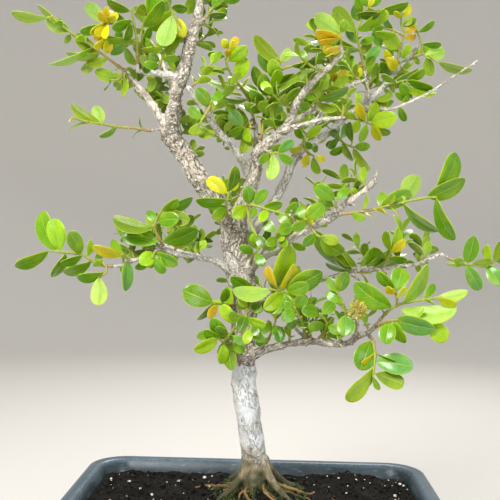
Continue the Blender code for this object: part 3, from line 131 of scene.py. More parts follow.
# Woody routes: each point is (across, down, depth, radius).
BRANCHES = {
    "trunk": [
        (254, 506, 20, 10.5), (254, 478, 20, 9.6), (253.5, 455, 20, 7.9), (249.5, 425, 19, 7.5),
        (246, 400, 18, 7.8), (244, 375, 17, 7.2), (243, 345, 16, 7.7), (244, 305, 15, 8.3),
        (240, 270, 14, 9.0), (236, 240, 13, 9.4), (231, 222, 12, 7.4), (222, 211, 10, 6.2),
        (200, 180, 6, 6.0), (185, 155, 4, 5.6), (170, 133, 2, 5.8), (174, 111, 1, 4.6),
        (175.5, 96, 0, 3.9), (182, 76, 0, 4.3), (187, 59, 0, 3.7), (190, 43, 0, 3.9),
        (196, 24, -1, 3.3), (199, 8, -2, 2.9), (202, -12, -3, 2.4), (205, -30, -4, 1.8),
    ],
    "fork_left": [
        (172, 138, 2, 4.0), (159.5, 116, 0, 2.7), (148, 99, -1, 2.3), (133, 81, -2, 1.9),
    ],
    "white_left": [(180, 76, 0, 2.2), (160, 74, -1, 2.0), (136, 71, -3, 1.7)],
    "leader_mid": [
        (234, 226, 12, 7.0), (240, 212, 11, 5.4), (248, 195, 10, 4.6), (255, 170, 6, 4.2),
        (259, 152, 2, 3.8), (274, 138, -4, 3.4), (287, 127, -8, 2.8), (296, 105, -14, 2.2),
        (308, 87, -20, 2.0), (320, 75, -25, 1.7), (333, 63, -30, 1.5), (342, 54, -33, 1.2),
    ],
    "leader_mid_upper": [
        (284, 129, -7, 2.2), (298, 119, -3, 1.9), (311, 110, 0, 1.7), (329, 100, 6, 1.6),
        (341, 93, 10, 1.4), (354, 84, 14, 1.2), (366, 79.5, 18, 1.0),
    ],
    "leader_mid_lower": [
        (280, 132, -6, 2.0), (294, 127, -14, 1.7), (308, 123, -20, 1.5), (325, 119, -28, 1.3),
        (345, 117.5, -36, 1.0),
    ],
    "leader_back": [(257, 162, 4, 2.6), (256, 145, 10, 1.9), (256, 124, 14, 1.4)],
    "leader_right": [
        (244, 252, 14, 4.5), (252, 236, 16, 3.6), (261, 220, 18, 3.1), (275, 200, 22, 2.9),
        (286, 179, 26, 2.8), (293, 161, 30, 3.0), (304, 148, 34, 2.8), (316, 141, 38, 2.5),
        (333, 129, 42, 2.4), (345, 117, 46, 2.3), (358, 108, 48, 2.0), (375, 95, 52, 1.9),
        (391, 77, 54, 1.8), (402, 64, 56, 1.7), (417, 46.4, 58, 1.7),
    ],
    "stem_right": [(367, 101, 50, 1.5), (368, 90, 48, 1.2), (366, 80, 46, 1.1)],
    "bare_right": [
        (360, 107, 48, 1.5), (387, 109.5, 42, 1.2), (404, 104.5, 38, 1.1), (425, 95, 33, 1.0),
        (441, 85, 29, 0.9), (462, 71, 24, 0.8), (471, 65.5, 22, 0.8), (478, 60.5, 20, 1.0),
    ],
    "arm_mid": [
        (249, 170, 8, 3.4), (241, 158, 0, 2.4), (229, 143, -7, 2.1), (215, 127, -14, 2.1),
        (207, 112, -20, 1.9), (188, 87, -27, 1.7),
    ],
    "arm_left": [
        (238, 277, 13, 3.4), (228, 269, 8, 2.3), (216, 262, 4, 2.0), (200, 258, 0, 1.8),
        (183, 255, -4, 1.8), (171, 252.5, -6, 1.8), (161, 249, -8, 1.6), (145, 256, -10, 1.4),
        (128, 263, -12, 1.3), (120, 266, -13, 1.2),
    ],
    "arm_right": [
        (245, 272, 11, 3.8), (258, 261, 4, 3.0), (271, 252, -2, 2.7), (283, 244, -8, 2.5),
        (296, 235, -13, 2.4), (308, 229.5, -18, 2.4), (320.5, 223, -22, 2.2), (333, 217, -26, 2.6),
        (343, 205, -29, 1.8), (358, 195, -32, 1.5), (368, 188, -35, 1.5), (377, 181, -38, 1.4),
    ],
    "stub_right": [(370, 187, -36, 1.3), (376, 176, -39, 1.0), (377, 167, -41, 0.8)],
    "stub_brown": [(300, 234, -14, 1.3), (294, 220, -20, 0.9), (291, 210, -24, 0.8)],
    "low_right": [
        (247, 357, 14, 4.4), (258, 352, 10, 3.2), (267, 349, 6, 2.6), (287, 344.5, 0, 2.3),
        (308, 341, -6, 2.2), (325, 343, -12, 2.2), (345, 344, -18, 1.9), (358, 337, -22, 1.6),
        (370, 331, -26, 1.5), (377, 324, -29, 1.2),
    ],
    "low_right_side": [(311, 340, -6, 1.4), (298, 331, 2, 1.1), (290, 322, 5, 0.9)],
    "back_right": [
        (245, 300, 15, 3.6), (262, 300, 22, 2.4), (290, 292, 28, 2.1), (320, 280, 30, 1.8),
        (348, 273, 30, 1.7), (358, 269, 30, 1.8), (366, 268, 30, 2.0), (380, 269, 29, 1.5),
        (396, 266, 28, 1.4), (416, 264, 26, 1.4), (429, 259, 25, 1.2), (441, 254, 24, 1.2),
    ],
    "back_right_stub": [(350, 273, 30, 1.2), (360, 281, 27, 1.0)],
    "back_low": [(246, 322, 16, 3.0), (256, 312, 36, 1.9), (268, 304, 54, 1.5), (276, 298, 66, 1.2)],
    "back_left": [
        (238, 272, 14, 3.4), (220, 262, 24, 1.9), (196, 256, 32, 1.6), (172, 248, 42, 1.4),
        (158, 240, 50, 1.2),
    ],
    "back_top": [(240, 236, 13, 3.6), (246, 222, 34, 1.9), (250, 206, 54, 1.5), (252, 192, 66, 1.2)],
    "back_high": [(297, 157, 31, 2.2), (306, 138, 44, 1.6), (318, 118, 58, 1.3), (326, 100, 68, 1.1)],
    "back_crown": [(176, 98, 0, 2.8), (170, 80, 20, 1.8), (160, 58, 38, 1.4), (152, 42, 50, 1.1)],
    "flower_stalk": [(350, 342, -20, 1.3), (357, 330, -34, 1.0), (358, 318, -41, 0.9)],
}

# Surface roots, as points (x, y, z, radius) that leave the foot of the trunk and dive into the soil.
ROOTS = {
    "root_left": [
        (-3, 18, 93, 3.9), (-7, 14, 84, 3.1), (-12, 10, 78, 2.3), (-20, 4, 71, 1.7), (-28, -3, 64, 1.2),
    ],
    "root_right": [
        (5, 19, 93, 3.9), (9, 15, 84, 3.0), (14, 9, 78, 2.3), (23, 1, 71, 1.8), (32, -7, 64, 1.2),
    ],
    "root_front": [(0, 16, 86, 3.4), (-1, 9, 77, 2.0), (1, 0, 73, 1.5), (5, -10, 66, 1.1)],
    "root_back": [(-1, 24, 90, 3.8), (-8, 32, 80, 2.8), (-16, 42, 72, 2.0), (-22, 50, 65, 1.4)],
    "root_far": [(6, 24, 88, 3.6), (15, 29, 78, 2.4), (26, 33, 71, 1.7), (36, 36, 65, 1.2)],
}

# Leafy sprays. A twig is a route of (across, down, depth) points: the first starts on a branch and the others
# on an earlier twig. A leaf is (base across, base down, tip across, tip down, width, lean, tone): the lean is
# how much further the tip lies than the base, and the tones are (g)reen, (l)ime, (d)ark, (t)eal, (y)ellow,
# (r)usset young, (o)live underside and (p)ale underside.
SPRAYS = {
    "spray_far_left_top": (
        [[(133, 81, -2), (127, 72, -5), (118, 66, -7), (104, 55, -11), (88, 44, -15), (71, 33, -19),
          (60, 24, -22), (50, 17, -25)],
         [(127, 72, -5), (119, 79, -9), (111, 80, -11)]],
        [(46, 18, 11, 12, 9, -6, "l"), (54, 17, 38, 6, 6, 7, "l"), (71, 31, 48, 18, 13, 5, "o"),
         (71, 34, 65, 43, 6, 4, "o"), (103, 52, 76, 34, 10, -4, "o"), (90, 49, 49, 64, 7, -8, "l"),
         (97, 54, 66, 60, 6, 7, "l"), (98, 56, 76, 66, 8, 12, "p"), (108, 59, 87, 64, 10, -6, "o"),
         (119, 79, 95, 71, 12, -4, "o"), (112, 80, 90, 85, 8, 3, "o"), (124, 76, 122, 97, 8, -4, "o")],
    ),
    "spray_left_top": (
        [[(138, 71, -3), (137, 56, -8), (137, 41, -12), (133, 20, -17), (131, 8, -20)],
         [(134, 27, -15), (120, 25, -19), (107, 23, -23)],
         [(136, 44, -11), (120, 43, -16), (107, 39, -21)]],
        [(131, 12, 107, 0, 9, -4, "g"), (128, 24, 114, 13, 9, 6, "d"), (133, 40, 99, 36, 6, -9, "g"),
         (128, 44, 110, 52, 8, 3, "t"), (107, 22, 86, 4, 12, -7, "p"), (104, 25, 80, 31, 8, -6, "g"),
         (108, 24, 100, 11, 7, -10, "r"), (112, 24, 113, 9, 7, 4, "r"), (107, 39, 93, 28, 7, -6, "r"),
         (107, 40, 94, 46, 7, -9, "y"), (113, 41, 106, 53, 7, 4, "r"), (122, 42, 118, 29, 9, 6, "g")],
    ),
    "spray_left_crown": (
        [[(147, 72, -2), (144, 55, -5), (142, 30, -8), (148, 16, -12)]],
        [(149, 15, 138, 7, 15, -9, "o"), (143, 27, 163, 1, 12, -6, "g"), (145, 28, 183, 8, 7, 5, "l"),
         (141, 49, 162, 48, 6, -5, "l"), (149, 15, 152, -8, 11, 6, "g")],
    ),
    "spray_crown_pale": (
        [[(190, 43, 0), (181, 27, -7), (174, 14, -9), (168, 3, -9)]],
        [(172, 16, 162, 46, 18, -7, "p"), (175, 16, 184, 37, 12, 6, "y"), (171, 8, 187, 8, 9, -7, "d"),
         (168, 4, 155, -8, 9, 4, "g")],
    ),
    "spray_white_mid": (
        [[(158, 74, -1), (160, 64, -5), (164, 54, -7)]],
        [(165, 54, 185, 36, 12, 6, "o"), (162, 60, 178, 57, 8, -5, "g"), (161, 62, 149, 54, 9, -4, "d"),
         (160, 66, 144, 64, 9, -7, "g")],
    ),
    "spray_crown_right": (
        [[(197, 26, -1), (207, 17, -5), (213, 8, -7), (223, 1, -9)]],
        [(212, 10, 222, -8, 10, -5, "g"), (222, 2, 242, -5, 9, 3, "g"), (208, 16, 226, 14, 7, -6, "d")],
    ),
    "spray_left_thin": (
        [[(163, 129, 1), (150, 130, -4), (135, 128, -8), (118, 127, -12), (102, 124, -16), (88, 122, -20),
          (74, 118, -24)]],
        [(102, 123, 71, 104.5, 9, -6, "o"), (103, 123, 95, 106, 12, 5, "p"),
         (118, 128, 99, 136, 6, -6, "g")],
    ),
    "spray_arm_mid": (
        [[(209, 116, -21), (210, 109, -26), (211, 102, -29)],
         [(210, 110, -25), (203, 118, -29), (200, 124, -31)]],
        [(211, 108, 197, 88, 13, -6, "g"), (202, 120, 189, 108, 10, 4, "g"),
         (201, 122, 190, 134, 8, -4, "o"), (211, 103, 222, 92, 9, 4, "g")],
    ),
    "spray_centre_top_left": (
        [[(256, 130, 13), (253, 116, 9), (248, 99, 6), (239, 85, 2), (229, 70, -3), (226, 58, -6),
          (229, 47, -8)],
         [(253, 118, 9), (248, 124, 5), (244, 128, 2)]],
        [(229, 50, 223, 39, 8, -5, "y"), (229, 49, 238, 38, 8, 3, "r"), (228, 62, 247, 47, 12, -5, "l"),
         (226, 57, 208, 53, 6, -5, "g"), (228, 69, 200, 68, 6, 4, "o"), (236, 82, 246, 57, 15, -6, "l"),
         (239, 86, 204, 78, 8, -5, "o"), (248, 101, 221, 96, 6, 5, "o"), (243, 128, 230, 111, 14, -5, "t"),
         (245, 128, 228, 134, 8, -6, "g")],
    ),
    "spray_centre_top": (
        [[(258, 150, 8), (262, 134, 2), (264, 112, 3), (268, 92, 1), (274, 78, -2), (280, 64, -5)],
         [(277, 72, -3), (285, 68, -6), (292, 66, -8)],
         [(267, 96, 2), (276, 101, -4), (283, 103, -7)]],
        [(280, 62, 254, 36, 10, -6, "o"), (275, 74, 258, 54, 9, 5, "g"), (275, 79, 273, 59, 14, -9, "l"),
         (281, 63, 289, 48, 10, 5, "p"), (290, 66, 321, 57, 6, -5, "g"), (292, 67, 311, 64, 6, 5, "l"),
         (274, 81, 294, 76, 8, 7, "g"), (283, 103, 301, 89, 10, -4, "g"), (265, 103, 250, 90, 10, -7, "g"),
         (266, 100, 278, 88, 10, 8, "g"), (264, 110, 250, 108, 9, -8, "g"),
         (263, 122, 283, 122, 8, -6, "g")],
    ),
    "spray_arm_tip": (
        [[(342, 54, -33), (341, 45, -36), (341, 34, -38)]],
        [(341, 34, 315, 16, 15, -5, "p"), (340, 38, 316, 31, 8, -8, "r"), (340, 36, 331, 25, 7, 5, "r"),
         (341, 47, 325, 51, 7, -5, "r"), (341, 34, 346, 20, 9, -5, "g")],
    ),
    "spray_right_stem": (
        [[(366, 80, 46), (364, 68, 43), (361, 54, 41), (358, 42, 37), (357, 32, 34), (362, 18, 31),
          (368, 8, 28)],
         [(363, 66, 43), (356, 67, 36), (351, 66, 32)]],
        [(360, 52, 328, 38, 12, -8, "g"), (357, 33, 334, 8, 17, -5, "o"), (360, 44, 374, 38, 9, -5, "g"),
         (361, 22, 351, 4, 10, 6, "d"), (363, 18, 380, 13, 9, -5, "d"), (368, 8, 358, -8, 10, -4, "g"),
         (368, 8, 380, -6, 9, 4, "g"), (351, 66, 338, 60, 12, -7, "t"), (352, 67, 344, 78, 9, -5, "y"),
         (355, 67, 350, 56, 8, 5, "g")],
    ),
    "spray_arm_upper_yellow": (
        [[(331, 99, 7), (333, 92, 1), (338, 84, -3)]],
        [(338, 84, 347, 70, 11, -4, "y"), (338, 85, 331, 72, 8, -5, "r"), (334, 90, 322, 84, 8, 5, "g")],
    ),
    "spray_arm_upper": (
        [[(312, 110, 0), (313, 104, -6), (317, 100, -9)]],
        [(315, 103, 323, 80, 13, -5, "l"), (317, 101, 348, 87, 7, -6, "g"),
         (313, 105, 297, 107, 10, -6, "g"), (316, 101, 303, 92, 8, 4, "g"),
         (316, 103, 338, 109, 7, -7, "o")],
    ),
    "spray_top_right": (
        [[(392, 76, 54), (397, 62, 48), (400, 48, 44), (404, 34, 40), (401, 24, 38), (402, 14, 36)],
         [(403, 35, 40), (392, 30, 38), (381, 26, 36), (377, 11, 34)]],
        [(380, 26, 384, 9, 12, -6, "l"), (377, 11, 409, 7, 7, -7, "g"), (395, 31, 383, 18, 8, 6, "t"),
         (402, 20, 396, 7, 7, -6, "y"), (402, 18, 410, 5, 7, 4, "y"), (402, 27, 416, 18, 7, -6, "g"),
         (403, 33, 416, 27, 7, -5, "r"), (403, 37, 416, 37, 7, 4, "r"), (400, 50, 385, 34, 17, -6, "l"),
         (396, 66, 386, 58, 9, -6, "y"), (385, 27, 372, 30, 8, -5, "g")],
    ),
    "spray_right_round": (
        [[(406, 60, 56), (414, 57, 49), (424, 54, 45), (431, 57, 43), (437, 62, 41)],
         [(423, 54, 45), (421, 42, 42), (417, 31, 40)]],
        [(425, 56, 445, 52, 15, -6, "p"), (427, 55, 431, 76, 13, 5, "o"), (437, 62, 472, 70, 8, -5, "l"),
         (421, 44, 441, 44, 6, -7, "g"), (418, 33, 434, 21, 8, -5, "g"), (418, 32, 410, 19, 8, 4, "l")],
    ),
    "spray_right_under": (
        [[(386, 84, 53), (396, 83, 47), (406, 80, 44)]],
        [(406, 80, 425, 70, 9, -5, "g"), (406, 81, 433, 88, 10, -5, "g"), (398, 83, 412, 94, 8, 5, "g"),
         (396, 82, 382, 74, 8, -5, "g")],
    ),
    "spray_bright": (
        [[(347, 116, 46), (356, 119, 40), (366, 122, 36), (373, 125, 33)]],
        [(372, 122, 397, 116, 18, -5, "l"), (366, 121, 358, 103, 10, -6, "y"),
         (367, 121, 377, 103, 11, 5, "l"), (361, 121, 349, 132, 10, -6, "l"),
         (371, 125, 381, 140, 10, -6, "y"), (367, 123, 360, 142, 9, 4, "l"),
         (373, 126, 390, 134, 7, 4, "g"), (357, 119, 350, 108, 8, 6, "l")],
    ),
    "spray_mid_pale": (
        [[(264, 148, 0), (270, 153, -7), (277, 153, -10)]],
        [(277, 152, 293, 140, 9, -5, "t"), (277, 154, 293, 162, 8, -5, "g"),
         (270, 153, 259, 162, 8, -6, "g"), (273, 154, 271, 180, 13, -4, "p")],
    ),
    "spray_below_right": (
        [[(306, 148, 34), (308, 153, 25), (314, 156, 20)],
         [(308, 153, 24), (303, 146, 18), (305, 138, 15)]],
        [(308, 155, 303, 167, 9, -5, "y"), (314, 156, 325, 160, 8, 4, "y"),
         (313, 156, 318, 174, 9, -5, "o"), (305, 139, 321, 126, 10, -5, "l"),
         (304, 140, 296, 128, 8, 5, "g"), (304, 142, 313, 148, 7, -6, "g")],
    ),
    "spray_under_bright": (
        [[(336, 127, 42), (338, 137, 36), (345, 144, 32), (353, 147, 29)]],
        [(341, 142, 352, 161, 8, -5, "o"), (352, 148, 369, 171, 8, -5, "o"),
         (353, 147, 370, 146, 10, -5, "g"), (338, 138, 328, 148, 8, -5, "d"),
         (340, 140, 347, 124, 9, 4, "t")],
    ),
    "spray_trunk_left": (
        [[(233, 224, 12), (226, 214, -6), (227, 204, -12), (229, 192, -15)]],
        [(228, 194, 207, 179, 14, -5, "y"), (229, 193, 235, 166, 7, -5, "d"),
         (229, 192, 240, 180, 7, 4, "y"), (228, 200, 196, 200, 7, -5, "g"),
         (227, 207, 212, 218, 9, -5, "g"), (227, 206, 208, 208, 8, 5, "g")],
    ),
    "spray_trunk_front": (
        [[(241, 212, 11), (245, 207, -3), (252, 205, -9), (270, 210, -13), (287, 215, -16)]],
        [(249, 205, 247, 186, 13, -5, "g"), (248, 206, 232, 217, 14, -7, "l"),
         (254, 205, 267, 190, 11, -4, "g"), (262, 207, 282, 203, 8, -6, "g"),
         (284, 214, 298, 203, 8, -5, "g"), (268, 210, 260, 222, 9, -6, "l"),
         (278, 213, 288, 226, 9, -4, "g")],
    ),
    "spray_mid_left": (
        [[(166, 251, -7), (160, 240, -14), (155, 228, -18), (158, 216, -21), (164, 208, -23)]],
        [(154, 229, 113, 218, 10, -6, "o"), (158, 241, 122, 231, 20, -4, "g"),
         (161, 212, 178, 199, 8, -5, "g"), (164, 208, 195, 201, 8, 4, "g"),
         (162, 211, 190, 210, 7, -7, "o"), (157, 221, 182, 219, 15, -6, "g"),
         (161, 243, 197, 229, 18, -6, "g"), (156, 224, 148, 211, 9, 5, "g")],
    ),
    "spray_mid_left_low": (
        [[(159, 250, -8), (155, 252, -15), (152, 258, -19)]],
        [(154, 252, 140, 264, 15, -7, "l"), (152, 259, 136, 269, 8, 4, "g"),
         (155, 256, 153, 280, 11, -5, "g"), (156, 253, 175, 266, 11, -6, "g")],
    ),
    "spray_far_left": (
        [[(120, 266, -13), (108, 266, -15), (95, 263, -17), (83, 255, -19), (62, 252, -22), (50, 251, -24)],
         [(113, 267, -14), (106, 273, -18), (98, 276, -20)]],
        [(61, 251, 53, 219, 17, -5, "l"), (56, 251, 52, 209, 6, 6, "g"), (82, 255, 68, 230, 15, -6, "g"),
         (87, 257, 91, 240, 7, 5, "l"), (48, 251, 15, 266, 9, -5, "g"), (83, 257, 60, 263, 8, -6, "g"),
         (92, 262, 64, 268, 8, 5, "g"), (66, 253, 53, 277, 8, 7, "g"), (94, 262, 104, 250, 8, 5, "d"),
         (106, 273, 77, 277, 7, -5, "g"), (99, 277, 98, 305, 16, -5, "p")],
    ),
    "spray_left_hanging": (
        [[(130, 262, -12), (127, 258, -18), (122, 254, -21)]],
        [(125, 256, 93, 246, 10, -6, "y"), (127, 262, 125, 291, 13, -5, "t"),
         (123, 254, 112, 240, 9, 5, "g")],
    ),
    "spray_lone_left": (
        [[(240, 306, 15), (228, 305, 0), (214, 303, -7)]],
        [(213, 303, 183, 290, 22, -5, "g"), (222, 304, 226, 288, 9, -6, "g"),
         (218, 304, 208, 318, 8, -6, "r"), (214, 304, 198, 320, 7, 5, "g")],
    ),
    "spray_low_left": (
        [[(240, 345, 16), (231, 344, 1), (223, 342, -6), (215, 334, -11)]],
        [(226, 339, 212, 318, 13, -7, "g"), (215, 333, 197, 337, 10, 4, "g"),
         (218, 339, 194, 350, 12, -6, "l"), (224, 344, 222, 364, 11, 4, "l"),
         (228, 344, 231, 370, 14, -6, "o"), (230, 343, 245, 351, 9, -8, "g"),
         (225, 342, 233, 329, 9, -6, "g")],
    ),
    "spray_centre_front": (
        [[(244, 290, 15), (252, 291, -2), (262, 289, -9), (274, 290, -15), (286, 292, -20)]],
        [(254, 290, 231, 277, 12, -6, "g"), (272, 290, 233, 292, 13, -9, "p"),
         (256, 292, 240, 308, 10, 4, "g"), (274, 289, 290, 245, 14, -4, "l"),
         (278, 289, 278, 262, 9, -6, "r"), (281, 289, 294, 264, 9, -7, "y"),
         (286, 291, 322, 272, 18, -5, "g"), (286, 293, 312, 289, 14, -7, "g"),
         (280, 292, 271, 314, 17, -7, "g"), (283, 293, 292, 318, 12, -3, "g")],
    ),
    "spray_centre_low": (
        [[(262, 351, 8), (268, 340, 0), (274, 326, -6), (277, 312, -9)]],
        [(277, 313, 262, 302, 12, -5, "g"), (277, 312, 290, 302, 12, 4, "g"),
         (275, 324, 281, 342, 13, -7, "d"), (274, 327, 258, 330, 11, -5, "g"),
         (269, 338, 256, 344, 9, 5, "g")],
    ),
    "spray_upper_dark": (
        [[(249, 268, 9), (253, 256, -4), (260, 247, -9)]],
        [(260, 247, 268, 229, 9, -5, "d"), (257, 250, 250, 232, 9, 4, "d"),
         (254, 254, 240, 246, 8, -6, "g"), (261, 248, 277, 246, 9, -5, "g"),
         (256, 252, 264, 266, 10, -6, "g")],
    ),
    "spray_arm_right_node": (
        [[(334, 216, -27), (335, 208, -33), (336, 199, -36)]],
        [(336, 201, 316, 186, 14, -5, "g"), (335, 207, 321, 201, 9, 4, "g"),
         (336, 200, 348, 188, 9, 4, "g")],
    ),
    "spray_arm_right_mid": (
        [[(312, 228, -19), (311, 227, -30), (306, 219, -35)],
         [(311, 227, -29), (316, 234, -32), (320, 237, -34)]],
        [(306, 220, 323, 205, 14, -6, "g"), (306, 219, 298, 208, 9, 4, "g"),
         (308, 223, 291, 228, 9, -6, "g"), (319, 236, 339, 241, 10, -5, "o"),
         (319, 237, 345, 255, 10, 4, "g"), (316, 234, 303, 246, 10, -5, "d")],
    ),
    "spray_arm_right_root": (
        [[(283, 244, -8), (279, 238, -15), (276, 233, -19)]],
        [(276, 233, 293, 226, 12, -5, "g"), (276, 232, 265, 222, 11, 4, "g"),
         (278, 237, 266, 245, 9, -7, "g"), (279, 239, 292, 248, 9, -7, "g")],
    ),
    "spray_right_long": (
        [[(333, 217, -26), (342, 214, -32), (350, 213, -34), (366, 211, -37), (379, 208, -39),
          (400, 203, -43), (424, 198, -47), (437, 197, -49)]],
        [(350, 213, 365, 219, 7, -5, "g"), (380, 208, 410, 191, 15, -5, "g"),
         (379, 208, 383, 192, 9, 5, "g"), (403, 202, 414, 174, 18, -6, "p"),
         (426, 198, 465, 179, 17, -5, "g"), (436, 197, 457, 154, 17, 5, "g"),
         (402, 203, 439, 231, 9, -6, "g"), (436, 198, 447, 242, 7, -5, "g")],
    ),
    "spray_back_right_young": (
        [[(382, 269, 29), (386, 260, 22), (391, 253, 18)]],
        [(390, 253, 387, 231, 9, -5, "l"), (391, 253, 399, 228, 10, 4, "l"),
         (391, 254, 405, 240, 9, -6, "y"), (387, 259, 374, 248, 8, -5, "g"),
         (388, 258, 407, 260, 7, -6, "g")],
    ),
    "spray_far_right": (
        [[(441, 254, 24), (452, 260, 18), (466, 264, 14), (483, 265.5, 10), (495, 262, 8)]],
        [(467, 263, 474, 236, 16, -5, "g"), (493, 262, 501, 242, 9, -5, "o"),
         (490, 263, 486, 245, 8, 5, "l"), (464, 264, 447, 264, 6, -6, "o"),
         (472, 264, 490, 257, 6, -7, "o"), (466, 265, 480, 290, 15, -5, "t"),
         (487, 265, 501, 286, 15, -5, "t"), (495, 262, 512, 256, 9, 4, "g")],
    ),
    "spray_low_right_stalk": (
        [[(303, 342, -4), (305, 332, -17), (300, 318, -24), (295, 308, -27)]],
        [(296, 310, 282, 320, 13, -5, "g"), (295, 308, 305, 296, 12, -5, "g"),
         (299, 319, 287, 328, 8, 4, "d"), (296, 312, 284, 304, 9, 5, "g")],
    ),
    "spray_low_right_fork": (
        [[(316, 342, -9), (325, 331, -17), (327, 323, -21), (321, 315, -24)]],
        [(321, 315, 300, 306, 13, -5, "g"), (322, 315, 333, 302, 13, 4, "g"),
         (326, 325, 308, 326, 10, -6, "g"), (327, 325, 341, 333, 9, -5, "g")],
    ),
    "spray_low_right_tall": (
        [[(337, 344, -16), (343, 332, -28), (346, 314, -35), (343, 304, -38), (337, 292, -40)]],
        [(346, 314, 345, 336, 20, -9, "t"), (338, 293, 347, 272, 13, -4, "d"),
         (342, 302, 326, 292, 10, 4, "g"), (338, 293, 327, 278, 9, 4, "g")],
    ),
    "spray_right_upper": (
        [[(377, 324, -29), (385, 314, -36), (392, 308, -41), (401, 304, -44), (420, 300, -47),
          (436, 298, -49)],
         [(397, 306, -43), (397, 297, -47), (394, 289, -50)]],
        [(392, 307, 354, 288, 16, -5, "g"), (396, 292, 402, 268, 17, 5, "g"),
         (394, 290, 378, 271, 9, -5, "g"), (396, 296, 388, 283, 8, -7, "y"),
         (397, 299, 406, 284, 8, -8, "y"), (403, 303, 428, 265, 12, 5, "l"),
         (436, 298, 468, 291, 11, -4, "p"), (436, 299, 457, 304, 8, -7, "y")],
    ),
    "spray_right_lower": (
        [[(373, 328, -27), (382, 324, -39), (394, 320, -46), (412, 320, -50), (427, 322, -52)]],
        [(402, 310, 457, 309, 17, -8, "p"), (394, 318, 437, 320, 17, -4, "t"),
         (427, 322, 447, 341, 20, -4, "l"), (390, 321, 386, 344, 16, -6, "g"),
         (394, 320, 405, 343, 11, 4, "g")],
    ),
    "spray_right_hanging": (
        [[(367, 333, -25), (373, 341, -35), (375, 356, -39), (373, 377, -42)]],
        [(371, 340, 360, 370, 22, -6, "g"), (376, 361, 413, 367, 20, -5, "t"),
         (375, 373, 404, 385, 15, -4, "o"), (374, 367, 346, 400, 11, -5, "l"),
         (373, 376, 379, 390, 6, -4, "o"), (373, 374, 366, 386, 6, 4, "o")],
    ),
}

# Sprays whose leaves follow the growth rule: each twig runs on from the end of a branch.
GROWN_SPRAYS = {
    "spray_crown_tip": ([(205, -30, -4), (206, -42, -6), (208, -56, -8), (207, -68, -8)], 8.5, 15.5),
    "spray_crown_left": ([(201, -4, -2), (190, -16, -10), (178, -26, -16), (168, -38, -20)], 9.0, 15.0),
    "spray_crown_front": ([(203, -16, -3), (212, -22, -16), (224, -30, -26), (236, -36, -32)], 9.0, 15.0),
    "spray_crown_back": ([(200, 4, -2), (198, -8, 16), (194, -20, 30), (192, -32, 40)], 9.0, 15.0),
    "spray_back_low": ([(276, 298, 66), (282, 292, 76), (290, 286, 84)], 8.0, 16.0),
    "spray_back_left": ([(158, 240, 50), (150, 236, 56), (140, 234, 62)], 8.0, 16.0),
    "spray_back_top": ([(252, 192, 66), (253, 184, 74), (250, 176, 82)], 8.0, 15.0),
    "spray_back_high": ([(326, 100, 68), (330, 90, 74), (336, 78, 78)], 8.0, 15.0),
    "spray_back_crown": ([(152, 42, 50), (148, 34, 56), (146, 22, 62)], 8.0, 15.0),
}
FLOWER_BASE = (358, 318, -41)
FLOWER_TOP = (357, 305, -45)

